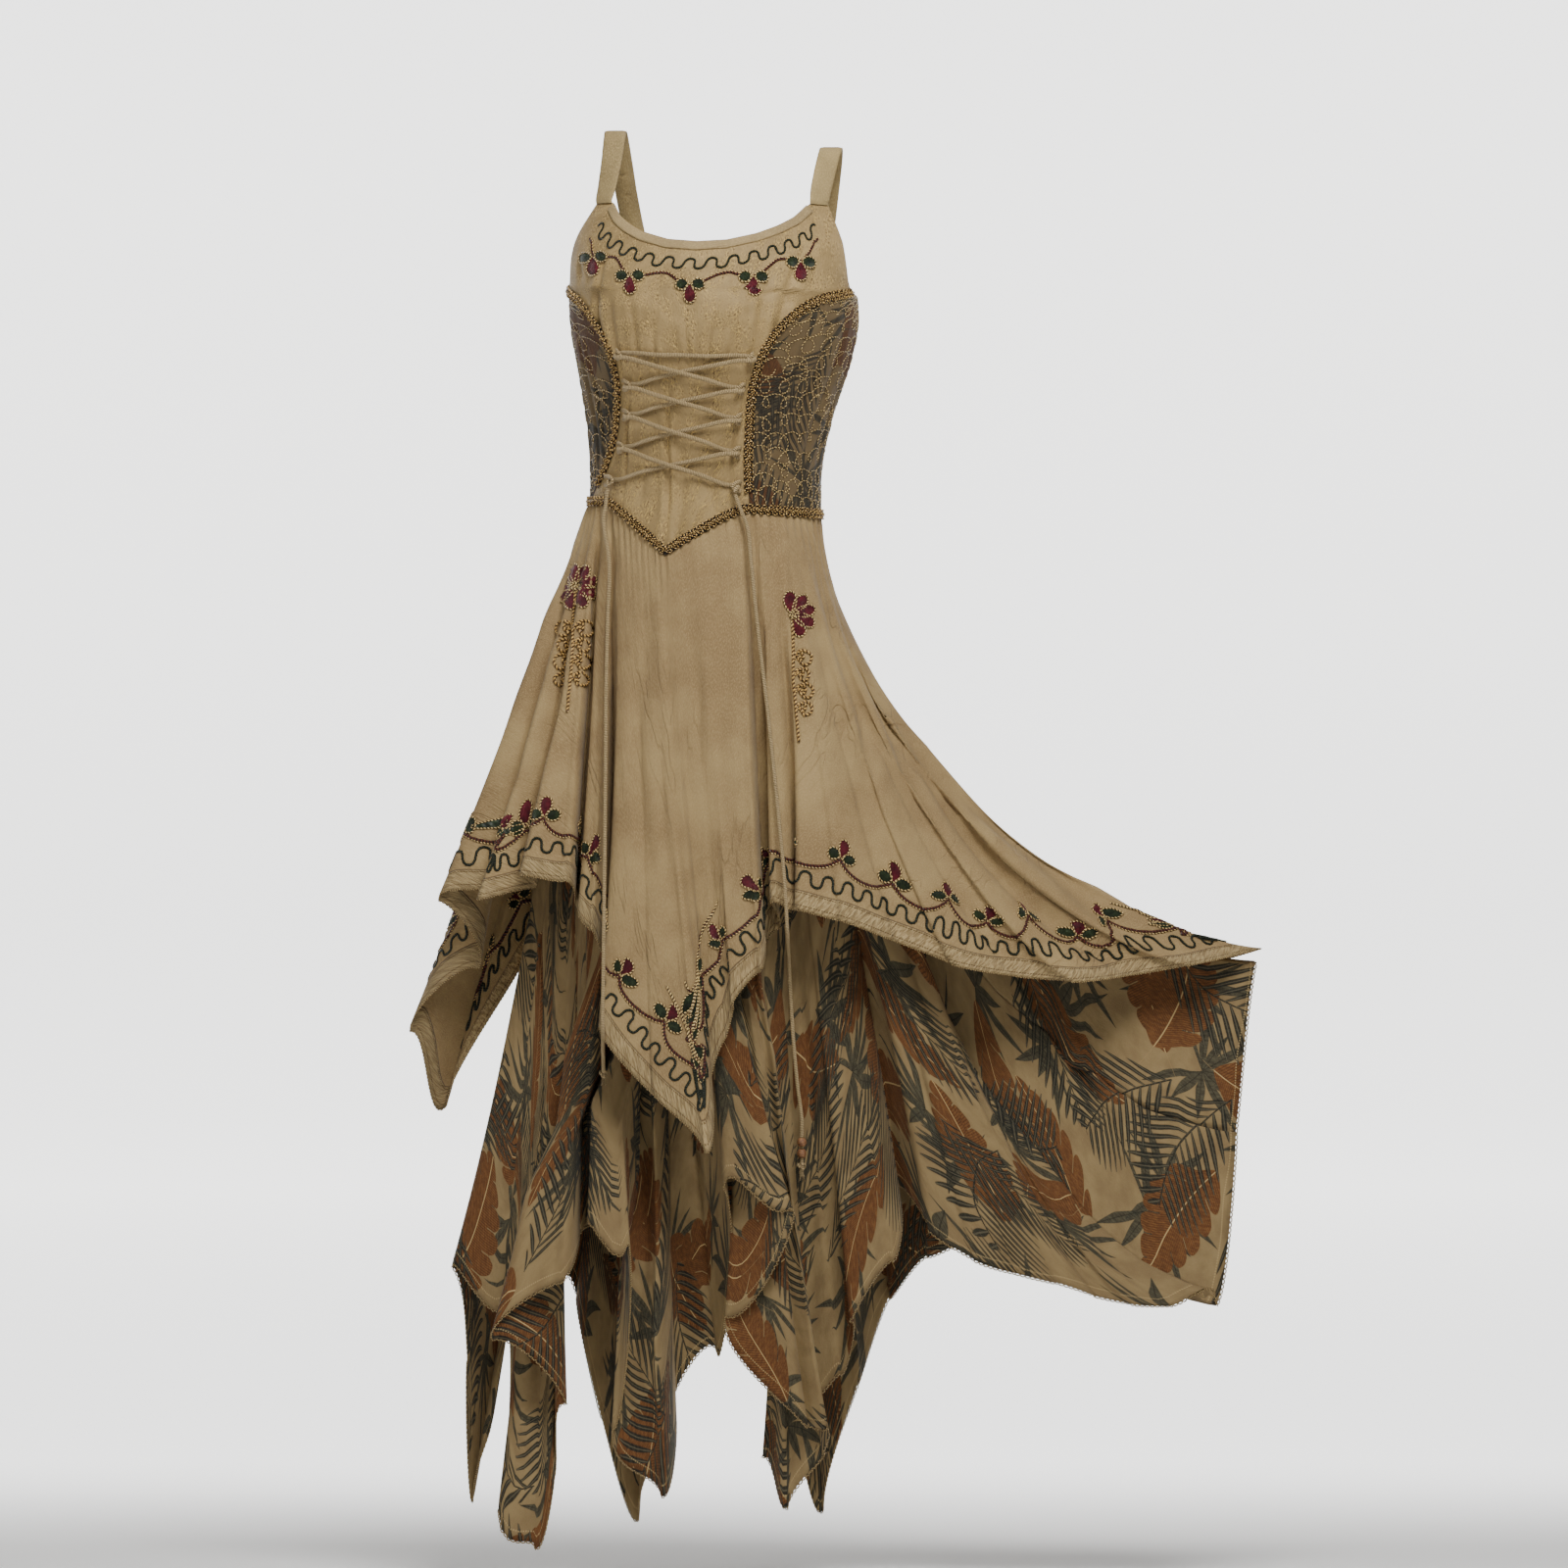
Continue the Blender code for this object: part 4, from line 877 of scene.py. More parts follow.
loops = []
for name, sign in (("left", -1), ("right", 1)):
    for number, loop in enumerate(LOOPS, 1):
        tip = getattr(loop, name)
        root = sign * (np.abs(side_angles(loop.drop + np.array([-6, 0, 6]), name)).min() - 3.8) - tip
        bend = [(root, -4.2, 2.6), (root * 0.4, -4.3, 5.4), (0, -2.8, 6.5), (-sign * 0.9, 0, 6.5),
                (0, 2.8, 6.5), (root * 0.4, 4.3, 5.4), (root, 4.2, 2.6)]
        line = route([off_body(tip + turn, loop.drop + down, high) for turn, down, high in bend], 0.9)
        facing = unit(off_body(tip, loop.drop, 5) - body(tip, loop.drop))
        piece = join(f"loop_{name}_{number}", [rope(line, facing, LOOP_TUBE * 1.9, LOOP_TUBE * 0.95, 10)])
        finish_piece(piece, f"lace_loop_{name}_{number}", slot="lace_cord")
        loops.append(piece)

# %% [markdown]
# The beads are turned wood with a hole for the cord. Under them the cord ends in a knot and a fray.
# %% Beads and knot


def bead(name, centre):
    """A round bead with a drilled hole, turned from its outline."""
    radius, hole, sides = BEAD / 2, LACE / 2 + 0.35, 28
    high = math.sqrt(radius**2 - hole**2)
    outline = [(hole, high - 0.5), (hole + 0.35, high + 0.02)]
    outline += [(radius * math.cos(a), radius * math.sin(a)) for a in np.radians(np.linspace(50, -50, 13))]
    outline += [(hole + 0.35, -high - 0.02), (hole, -high + 0.5)]
    turn = np.linspace(0, 2 * math.pi, sides, endpoint=False)
    points = np.array([[r * math.cos(t), r * math.sin(t), z] for t in turn for r, z in outline]) + centre
    ring = len(outline)
    starts = [(s * ring, (s + 1) % sides * ring) for s in range(sides)]
    faces = [(after + k, after + (k + 1) % ring, here + (k + 1) % ring, here + k)
             for here, after in starts for k in range(ring)]
    return mesh_piece(name, points, faces)


bead_pieces = []
for number, drop in enumerate(BEADS, 1):
    end = ends["right"][-1]
    piece = bead(f"wooden_bead_{number}", np.array([end[0], end[1], -drop]))
    bead_pieces.append(finish_piece(piece, f"bead_{number}", slot="bead_wood"))

KNOT_RADIUS = 2.9


def knot(centre, fray, count):
    """The cord tied on itself in a small knot, and its threads opened out below it."""
    t = np.linspace(0, 2 * math.pi, 48)
    x, z = np.sin(t) + 1.6 * np.sin(2 * t), np.cos(t) - 1.6 * np.cos(2 * t)
    line = np.stack([x, 1.1 * np.sin(3 * t), z], axis=1)
    parts = [rope(line * KNOT_RADIUS / 2.2 + centre, (0.2, -1, 0.1), LACE * 0.72, LACE * 0.6, 8)]
    for k in range(count):
        turn, lean = 2.4 * k, 0.10 + 0.05 * math.sin(3.1 * k)
        down = np.linspace(0, 1, 8)
        long = fray * (0.8 + 0.2 * math.sin(1.7 * k + 1))
        out = 0.9 + lean * long * down**1.4 * 1.6 + 0.35 * np.sin(9 * down + k)
        low = -0.8 * KNOT_RADIUS - long * down
        thread = np.stack([out * math.cos(turn), out * math.sin(turn), low], axis=1)
        parts.append(rope(thread + centre, (math.cos(turn), math.sin(turn), 0.01), 0.8, 0.7, 4))
    return parts


right_knot = finish_piece(join("knot_right", knot(ends["right"][-1] + np.array([0, 0, -0.5]), 13, 14)))
left_knot = finish_piece(join("knot_left", knot(ends["left"][-1] + np.array([0, 0, -0.5]), 9, 9)))
faces = [len(piece.data.polygons) for piece in (left_knot, right_knot)]
print(len(bead_pieces), "beads;", faces, "faces in the knots")

# %% [markdown]
# The straps go over the shoulders as flat bands. Their middle line and the way their width lies are
# the solid's, read at more points, with edges that are turned and stitched.
# %% Straps and neck binding


def face_outwards(piece):
    """Turns a closed mesh's faces outwards."""
    shape = bmesh.new()
    shape.from_mesh(piece.data)
    bmesh.ops.recalc_face_normals(shape, faces=shape.faces[:])
    shape.to_mesh(piece.data)
    shape.free()


def band(line, across, out, outline, name):
    """A flat trim: its outline carried along a line, with its ends closed."""
    ring = len(outline)
    profile = np.array(outline, float)
    points = line[:, None] + across[:, None] * profile[None, :, :1] + out[:, None] * profile[None, :, 1:]
    run = run_along(line)
    uv = []
    for start, end in zip(run, run[1:]):
        for k in range(ring):
            here, after = profile[k, 0], profile[(k + 1) % ring, 0]
            uv += [(here, start), (after, start), (after, end), (here, end)]
    uv += [(0, 0)] * (2 * ring)
    piece = mesh_piece(name, points.reshape(-1, 3), tube_faces(len(line), ring), np.array(uv) * MM)
    face_outwards(piece)
    return piece


def banded(half, low, high, steps=14):
    """The outline of a band: rounded turned edges, a row of stitching sunk near each, a soft middle."""
    spots = np.linspace(1, -1, steps)
    sunk = 0.55 * np.exp(-((np.abs(spots) - 0.8) / 0.07) ** 2) + (high - low) * 0.45 * np.abs(spots) ** 14
    return [(-half, low), (half, low), *zip(spots * half, high - sunk)]


for strap, rests in STRAPS.items():
    steps = np.arange(len(rests))
    fine = np.linspace(0, steps[-1], 120)
    x, y, z = (smooth(steps, column(rests, name), fine) for name in ("across", "towards", "rise"))
    line = np.stack([x, -y, z], axis=1)
    lie = np.radians(smooth(steps, column(rests, "lie"), fine))
    side = 1 if strap == "right" else -1
    across = np.stack([np.cos(lie) * side, np.sin(lie), 0 * lie], axis=1)
    along = unit(np.gradient(line, axis=0))
    across = unit(across - along * np.sum(across * along, axis=1, keepdims=True))
    out = -np.cross(along, across) * side
    tip, tail = line[:1] + (line[:1] - line[1:2]) * 1.6, line[-1:] + unit(line[-1:] - line[-2:-1]) * 3.0
    line = np.concatenate([tip, line, tail])
    across, out = (np.concatenate([part[:1], part, part[-1:]]) for part in (across, out))
    piece = band(line, across, out, banded(STRAP_WIDTH / 2, 0, STRAP_CLOTH), f"strap_{strap}_band")
    finish_piece(piece, f"strap_{strap}", slot="strap_cloth")
    print(piece.name, round(run_along(line)[-1]), "mm")

angle = np.linspace(-49, 49, 160)
drop = np.interp(np.abs(angle), column(NECKLINE, "angle"), column(NECKLINE, "drop")) + BINDING_WIDTH / 2 + 0.5
line = body(angle, drop)
out = unit(off_body(angle, drop, 1.0) - line)
along = unit(np.gradient(line, axis=0))
binding = band(line, unit(np.cross(along, out)), out, banded(BINDING_WIDTH / 2, 0.6, 2.6), "neckline_binding")
finish_piece(binding, "neck_binding", slot="binding_cloth")

# %% [markdown]
# The gimp braid is made of gold cord over a core, drawn near-black as painted shade in the gaps between
# the rings. Rings of cord lie left and right of the seam in turn, and one cord winds between them on top.
# It could be one textured strip, but its edge would be straight; here one ring is a loop of rope, repeated
# along the seam.
# %% Gimp braid
GIMP_PITCH, GIMP_REACH = 7.0, 2.3
CORE_WIDTH = 8.4
cores = []


def gimp(name, line, out):
    """Rings of cord left and right of a line, a raised cord between them, and a core below in painted shade.
    """
    run = run_along(line)
    count = int(run[-1] / GIMP_PITCH)
    step = run[-1] / count
    _, across, off = frames(line, out)

    def at(s, side, high):
        place, sideways, facing = (np.stack([np.interp(s, run, part[:, k]) for k in range(3)], -1)
                                   for part in (line, across, off))
        return place + sideways * side[:, None] + facing * high[:, None], facing

    parts = []
    t = np.linspace(0, 2 * math.pi, 9)
    for k in range(count):
        for sign in (-1, 1):
            s = np.clip((k + 0.5 + 0.25 * sign) * step + GIMP_REACH * np.cos(t), 0, run[-1])
            points, facing = at(s, sign * (2.7 + 1.75 * np.sin(t + 0.4)), 2.5 + 0.8 * np.sin(2 * t + k))
            parts.append(rope(points, facing, 1.25, 1.7, 5))
    s = np.linspace(0, run[-1], count * 5)
    points, facing = at(s, 1.1 * np.sin(2 * math.pi * s / step), 3.5 + 0.6 * np.cos(4 * math.pi * s / step))
    parts.append(rope(points, facing, 1.2, 1.6, 5))
    # The core below the rings is near-black: painted shade in the gaps between them.
    core, facing = at(np.linspace(0, run[-1], count * 2), np.zeros(count * 2), np.full(count * 2, 1.6))
    cores.append(rope(core, facing, CORE_WIDTH, 1.2, 6))
    return join(name, parts)


braids = []
rows = [row for row in sorted(FRONT_SIDES) if UNDERARM <= row.drop <= 340]
for name in ("left", "right"):
    steps = np.linspace(rows[0].drop, rows[-1].drop, 90)
    angle, drop = np.interp(steps, column(rows, "drop"), column(rows, name)), steps
    line = body(angle, drop)
    piece = gimp(f"gimp_{name}", line, unit(off_body(angle, drop, 1.0) - line))
    braids.append(finish_piece(piece, f"braid_{name}", slot="gimp_braid"))
angle = np.concatenate([np.linspace(-180, -45, 120)[:-1], np.linspace(-45, 39, 90),
                        np.linspace(39, 179, 120)[1:]])
drop = waist_drop(angle) - 1.5
line = body(angle, drop)
piece = gimp("gimp_waist", line, unit(off_body(angle, drop, 1.0) - line))
braids.append(finish_piece(piece, "braid_waist", slot="gimp_braid"))
gimp_core = finish_piece(join("gimp_core", cores))
print("gimp", [len(piece.data.polygons) for piece in braids], "faces")

# %% [markdown]
# Embroidery follows the cloth. A place on it is a length along its edge and a height above that edge,
# and the helper below gives the point there, how the cloth faces, and which ways are along and up.
# %% Places on the cloth


class Surface:
    """A grid of cloth read by length along its last row and height above it."""

    def __init__(self, grid, sign=1, slanted=True):
        self.grid = grid
        self.facing, self.outwards = normals(grid, closed=False) * sign, sign
        self.along, self.up = spans(grid)
        square = np.ones(grid.shape[1]), np.zeros(grid.shape[1])
        self.lean, self.slant = hem_lean(grid) if slanted else square
        self.lift = CLOTH / 2
        self.length = self.along[-1, -1]

    def read(self, col, row, high):
        """The point at fractional columns and rows, a little way off the cloth."""
        rows, cols = self.grid.shape[:2]
        c, r = np.clip(col, 0, cols - 1.001), np.clip(row, 0, rows - 1.001)
        i, j = r.astype(int), c.astype(int)
        a, b = (r - i)[:, None], (c - j)[:, None]

        def mix(field):
            return ((field[i, j] * (1 - b) + field[i, j + 1] * b) * (1 - a)
                    + (field[i + 1, j] * (1 - b) + field[i + 1, j + 1] * b) * a)

        facing = unit(mix(self.facing))
        return mix(self.grid) + facing * (self.lift + np.broadcast_to(high, r.shape))[:, None], facing

    def at(self, along, height, high=0.0):
        """The point at lengths along the edge and heights square to it."""
        along, height = np.broadcast_arrays(np.asarray(along, float), np.asarray(height, float))
        index = np.arange(self.grid.shape[1])
        first = np.interp(along, self.along[-1], index)
        close = np.clip((HEM_REACH - height) / 90, 0, 1)
        lean = 1 - (1 - np.interp(first, index, self.lean)) * close
        moved = along - height * np.interp(first, index, self.slant) * close
        col = np.interp(moved, self.along[-1], index)
        row = np.array([np.interp(h, self.up[::-1, int(round(c))], np.arange(len(self.grid))[::-1])
                        for h, c in zip((height / lean).ravel(), np.clip(col, 0, len(index) - 1).ravel())])
        return self.read(col.ravel(), row, high)

    def near(self, along, height, points, high=0.0):
        """Points of a small motif, in its own millimetres, about a place on the cloth."""
        spot, _ = self.at(along, height)
        side = (self.at(along + 4, height)[0] - spot)[0] / 4
        rise = (self.at(along, height + 4)[0] - spot)[0] / 4
        wide = max(float(np.linalg.norm(side)), 0.25)
        slip = float(rise @ side) / wide
        tall = max(float(np.linalg.norm(rise - side / wide * slip)), 0.4)
        points = np.asarray(points, float)
        up = points[:, 1] / tall
        return self.at(along + (points[:, 0] - up * slip) / wide, height + up, high)

    def front(self, along, height, points, high=0.0):
        """Points of a motif that reads whole from the front, whatever the folds under it do."""
        spot = self.at(along, height)[0][0]
        points = np.asarray(points, float)
        first = int(np.interp(along, self.along[-1], np.arange(self.grid.shape[1])))
        cols = np.arange(max(first - 45, 0), min(first + 45, self.grid.shape[1]))
        down = math.copysign(1, self.grid[-1, first, 2] - self.grid[0, first, 2])
        right = math.copysign(1, self.grid[-1, cols[-1], 0] - self.grid[-1, cols[0], 0])
        col = np.full(len(points), float(first))
        rows = np.arange(len(self.grid))
        for _ in range(4):
            row = np.array([np.interp((spot[2] + v) * down, self.grid[:, int(round(c)), 2] * down, rows)
                            for v, c in zip(points[:, 1], col)])
            edges = [np.maximum.accumulate(self.grid[int(round(r)), cols, 0] * right) for r in row]
            col = np.array([np.interp((spot[0] + u) * right, edge, cols)
                            for u, edge in zip(points[:, 0], edges)])
        return self.read(col, row, high)


def sheet_surface(layer, part_name):
    """The outer face of a skirt piece, facing away from the body."""
    cut = skirt_pieces[layer, part_name][1]
    facing = normals(cut, closed=False)
    sign = 1 if np.sum(facing[2, :, :2] * (cut[2, :, :2] - WAIST_CENTRE)) > 0 else -1
    return Surface(cut, sign)


over_front, over_back = sheet_surface("overskirt", "front"), sheet_surface("overskirt", "back")
under_front, under_back = sheet_surface("underskirt", "front"), sheet_surface("underskirt", "back")
hems = over_front, over_back, under_front, under_back
print("hem lengths", [round(surface.length) for surface in hems])

# %% [markdown]
# The stitched motifs: a cord couched along a line, and a petal filled with satin stitch and outlined
# with gold cord. A petal is a low dome, so the light runs along its threads as it does on the real one.
# %% Couched cord and satin petals
stitches = {"gold": [], "spray": [], "vine": [], "green_line": [], "maroon": [], "green": [], "edging": []}


def couch(finish, place, width, high):
    """A cord laid on the cloth along a line of points and their facings."""
    points, facing = place
    keep = np.concatenate([[True], np.linalg.norm(np.diff(points, axis=0), axis=1) > 0.25])
    if keep.sum() < 3:
        return
    stitches[finish].append(rope(points[keep] + facing[keep] * high * 0.3, facing[keep], width, high, 5))


def turned(x, y, turn, start=(0.0, 0.0)):
    """A motif's outline turned about its base by an angle in degrees, and moved to its start."""
    c, s = math.cos(math.radians(turn)), math.sin(math.radians(turn))
    return np.stack([x * c - y * s + start[0], x * s + y * c + start[1]], axis=1)


PETAL_TURN = np.linspace(0, 2 * math.pi, 18, endpoint=False)


def teardrop(length, width, turn):
    """A petal's outline that starts and ends at its point."""
    x = width / 2 * np.sin(PETAL_TURN) * np.sin(PETAL_TURN / 2) ** 0.8
    return turned(x, length * (1 - np.cos(PETAL_TURN)) / 2, turn)


def oval(length, width, turn, start):
    """A round petal's outline from its base."""
    return turned(width / 2 * np.sin(PETAL_TURN), length * (1 - np.cos(PETAL_TURN)) / 2, turn, start)


def petal(finish, place, outline, bulge=1.1, gold=1.6, lift=0.5):
    """A satin petal and its gold outline, put on the cloth by a function of points and heights."""
    middle = outline.mean(axis=0)
    n = len(outline)
    shares = (1.0, 0.75, 0.5, 0.25)
    flat = np.concatenate([middle + (outline - middle) * share for share in shares] + [middle[None]])
    high = np.concatenate([np.full(n, lift + bulge * (1 - share**2)) for share in shares] + [[lift + bulge]])
    faces = [(r * n + k, r * n + (k + 1) % n, (r + 1) * n + (k + 1) % n, (r + 1) * n + k)
             for r in range(len(shares) - 1) for k in range(n)]
    last = (len(shares) - 1) * n
    faces += [(last + k, last + (k + 1) % n, last + n) for k in range(n)]
    uv = np.array([flat[k] for face in faces for k in face]) * MM
    stitches[finish].append((place(flat, high)[0], faces, uv))
    ring = np.concatenate([outline, outline[:2]])
    couch("gold", place(ring, lift), gold, gold * 0.9)


def cluster(surface, along, height, size):
    """One maroon petal between two green ones, where the vine turns up."""
    def place(points, high):
        return surface.near(along, height, points, high)

    petal("maroon", place, teardrop(21 * size, 15 * size, 6 * math.sin(along)))
    for turn in (-74, 76):
        petal("green", place, oval(14.5 * size, 11.5 * size, turn + 8 * math.sin(along + turn),
                                   (-2.2 * size * math.copysign(1, turn), 0.5)))


# %% [markdown]
# The border of the overskirt from its edge up: picot edging, a band, a dark green wave line, and a
# garland that dips between clusters of petals. The same border runs right round, back included.
# %% The overskirt's border
WAVE_PERIOD, WAVE_SWING, WAVE_HEIGHT = 21.0, 7.5, 31.0
GARLAND_PITCH, GARLAND_TOP, GARLAND_DIP = 61.0, 58.0, 14.5


def border(surface, start, low=0.0):
    """The wave line, the garland and its clusters along a hem, or along the part of it past a length."""
    s = np.arange(low, surface.length, 1.6)
    wobble = 1 + 0.12 * np.sin(s / 47) + 0.08 * np.sin(s / 19 + 2)
    phase = 2 * math.pi * s / WAVE_PERIOD + 0.7 * np.sin(s / 60)
    height = WAVE_HEIGHT + WAVE_SWING * wobble * np.sin(phase)
    couch("green_line", surface.at(s - 1.5 * np.sin(2 * phase), height, 0.1), 2.7, 1.5)
    s = np.arange(low, surface.length, 2.4)
    part = ((s - start) / GARLAND_PITCH) % 1
    dip = GARLAND_DIP * np.sin(math.pi * part**0.85) ** 0.75
    couch("vine", surface.at(s, GARLAND_TOP - dip, 0.1), 3.3, 1.9)
    couch("gold", surface.at(s, GARLAND_TOP - dip - 1.9, 0.2), 1.3, 1.3)
    for k in range(int((surface.length - start) / GARLAND_PITCH) + 1):
        where = start + k * GARLAND_PITCH
        if max(12, low) < where < surface.length - 12:
            cluster(surface, where, GARLAND_TOP + 1, 0.96 + 0.06 * math.sin(where))


def picot(surface, pitch, reach):
    """The edging along a hem: a thread that stands out from the edge in small round loops."""
    count = int(surface.length / pitch)
    k = np.arange(count * 5 + 1)
    turn = 2 * math.pi * k / 5
    s = np.clip(k * surface.length / (count * 5) - 0.2 * pitch * np.sin(turn), 0, surface.length)
    points, facing = surface.at(s, np.full(len(s), 0.4), -CLOTH / 2)
    down = points - surface.at(s, np.full(len(s), 3.0), -CLOTH / 2)[0]
    points = points + unit(down) * (reach * (0.5 - 0.5 * np.cos(turn)) - 0.4)[:, None]
    stitches["edging"].append(rope(points, facing, 1.4, 1.3, 4))


border(over_front, 21.0)
border(over_back, 30.0)
inside_back = Surface(over_back.grid, -1 if over_back.outwards > 0 else 1)
border(inside_back, 30.0, inside_back.length - 330)
for surface, pitch, reach in zip(hems, (4.0, 4.0, 5.0, 5.0), (1.8, 1.8, 2.6, 2.6)):
    picot(surface, pitch, reach)

# %% [markdown]
# Two stemmed flowers stand on the front of the overskirt, either side of the middle panel: maroon
# petals round a gold eye, nine on one and the five that a fold leaves in sight on the other, over a stem
# with curls of gold cord. They are laid out as they look from the front, so that folds don't squeeze them.
# %% The two flowers
CURLS = [(-1, -42, 9.5), (-2, -58, 8), (-3, -74, 9.5), (-4, -91, 8.5)]


def curl(x, y, radius, turn, way):
    """A small scroll that starts at a place on the stem."""
    t = np.linspace(0, 2.2 * math.pi, 16)
    r = radius * (1 - 0.55 * t / t[-1])
    a = math.radians(turn) + way * t
    centre = np.array([x - radius * math.cos(math.radians(turn)), y - radius * math.sin(math.radians(turn))])
    return centre + np.stack([r * np.cos(a), r * np.sin(a)], axis=1)


def flower(surface, along, height, turns, sides, way):
    """A flower with petals at some turns and its stem, hanging down from it, with curls on some sides."""
    def place(points, high):
        return surface.front(along, height, points, high)

    for turn in turns:
        petal("maroon", place, teardrop(23, 14.5, turn), 1.0, 1.7)
    ring = np.linspace(0, 2 * math.pi, 12)
    couch("gold", place(np.stack([3 * np.cos(ring), 3 * np.sin(ring)], 1), 1.2), 2.2, 1.8)
    bend = np.interp(np.linspace(0, 1, 60), [0, 0.5, 1], [0, -way * 2, -way * 7])
    stem = np.stack([bend, np.linspace(-6, -122, 60)], axis=1)
    couch("spray", place(stem, 0.3), 3.0, 2.2)
    for x, y, r in CURLS:
        for sign in sides:
            for grow in (1.0, 0.55):
                turn = 180 if sign > 0 else 0
                points = curl(x * way + sign, y + (1 - grow) * 4, r * grow, turn, -sign)
                couch("spray", place(points, 0.35), 2.7, 2.2)


Flower = namedtuple("Flower", "angle part turns sides way")
FLOWERS = table(
    Flower, (-57.5, 0.215, range(6, 366, 40), (-1, 1), 1), (58, 0.255, (6, -34, -74, -114, -154), (1,), -1))
front_cols, _ = half_columns(OVERSKIRT, over_counts, *OVER_SIDES)
front_steps = fold_steps(OVERSKIRT, over_counts)[front_cols]
for one in FLOWERS:
    col = int(np.argmin(np.abs(front_steps - one.angle)))
    high = float(over_front.up[int(one.part * (len(over_rows) - 1)), col])
    flower(over_front, float(over_front.along[-1][col]), high, one.turns, one.sides, one.way)

# %% [markdown]
# The neckline repeats the hem's border upside down: a wave line under the binding and a thin vine with
# clusters whose maroon petal points down.
# %% Embroidery at the neckline
neck_grid = front_points[::-1]
neck = Surface(neck_grid, 1 if normals(neck_grid, closed=False)[60, 60, 1] < 0 else -1, slanted=False)
span = neck.along[-1]
first, last = span[-1] * 0.09, span[-1] * 0.91
middle = span[-1] / 2
s = np.arange(first, last, 1.3)
phase = 2 * math.pi * s / 17.5
couch("green_line", neck.at(s - 1.2 * np.sin(2 * phase), 25 + 5.5 * np.sin(phase), 0.1), 2.4, 1.4)
NECK_CLUSTERS = [-98, -48, 0, 45, 90]
NECK_VINE = [(-112, 40), (-98, 46), (-73, 36), (-48, 47), (-24, 37), (0, 48), (22, 37), (45, 47), (67, 36),
             (90, 46), (110, 36)]
s = np.arange(first, last, 2.0)
dip = smooth(*zip(*NECK_VINE), s - middle)
couch("vine", neck.at(s, dip, 0.1), 2.4, 1.5)
couch("gold", neck.at(s, dip - 1.5, 0.2), 1.0, 1.0)
for where in NECK_CLUSTERS:
    def beside(points, high, where=where):
        return neck.front(middle + where, 47, points * (1, -1), high)

    petal("maroon", beside, teardrop(18.5, 14.5, 0), lift=0.9)
    for turn in (-76, 76):
        petal("green", beside, oval(12, 10.5, turn, (-2.0 * math.copysign(1, turn), -1.0)), lift=0.9)
print("stitch parts", {name: len(parts) for name, parts in stitches.items()})

# %% [markdown]
# The side panels carry a net of looped gold thread: rows of linked round loops, uneven, from the seam
# to the side.
# %% Looped gold net
NET_RADIUS, NET_PITCH, NET_ROWS = 6.6, 14.0, 16.0


def net(surface):
    """Rows of linked loops over a panel, each row drifting up and down, no two loops alike."""
    for row, height in enumerate(np.arange(9, surface.up.max() - 8, NET_ROWS)):
        n = int((surface.length - 8) / NET_PITCH)
        t = np.linspace(0, 2 * math.pi * n, n * 11)
        big = NET_RADIUS * (1 + 0.28 * np.sin(t / 5.3 + row * 1.7) + 0.2 * np.sin(t / 2.9 + row))
        s = 4 + (surface.length - 8) * t / t[-1] + big * 1.05 * np.sin(t + row)
        drift = 4.5 * np.sin(t / 9 + row) + 2.5 * np.sin(t / 4.1 + row * 2.3)
        h = height + big * 1.15 * np.cos(t + row) + drift
        limit = np.interp(s, surface.along[-1], surface.up.max(axis=0)) - 4
        couch("gold", surface.at(s, np.clip(h, 2, limit), 0.1), 0.95, 0.8)


side_surfaces = []
for points in (left_points, right_points):
    facing = normals(points, closed=False)[50, 30, :2]
    sign = 1 if np.sum(facing * (points[50, 30, :2] - WAIST_CENTRE)) > 0 else -1
    side_surfaces.append(Surface(points, sign, slanted=False))
    net(side_surfaces[-1])

sewn = {}
for finish, parts in stitches.items():
    piece = join(f"stitching_{finish}", parts)
    if finish not in ("maroon", "green"):
        face_outwards(piece)
    sewn[finish] = finish_piece(piece)
    print(piece.name, sum(len(f.vertices) - 2 for f in piece.data.polygons), "triangles")

# %% [markdown]
# Materials start from what the real finish is. One function turns a hex colour to linear, and one adds
# a node with its settings and links, whatever its kind.
# %% Colours and nodes


def linear(code):
    """An sRGB hex colour as the linear values that a shader takes."""
    parts = [int(code[k:k + 2], 16) / 255 for k in (1, 3, 5)]
    return tuple(p / 12.92 if p <= 0.04045 else ((p + 0.055) / 1.055) ** 2.4 for p in parts) + (1,)


def add(tree, kind, *inputs, out=0, named=None, **settings):
    """One node with its settings, its inputs linked or set, and one of its outputs."""
    name, _, operation = kind.partition(" ")
    node = tree.nodes.new("ShaderNode" + name)
    if operation:
        node.operation = operation
    for key, value in settings.items():
        setattr(node, key, value)
    pairs = list(zip(node.inputs, inputs))
    for key, value in (named or {}).items():
        pairs.append((next(k for k in node.inputs if key in (k.identifier, k.name) and k.enabled), value))
    for socket, value in pairs:
        value = getattr(value, "socket", value)
        if isinstance(value, bpy.types.NodeSocket):
            tree.links.new(value, socket)
        elif value is not None:
            socket.default_value = value
    return node.outputs[out]

# %% [markdown]
# The leaves and the weave are arithmetic on a place on the cloth. A small class lets that be written as
# arithmetic, so that a leaf's formula can be read.
# %% Arithmetic on a surface


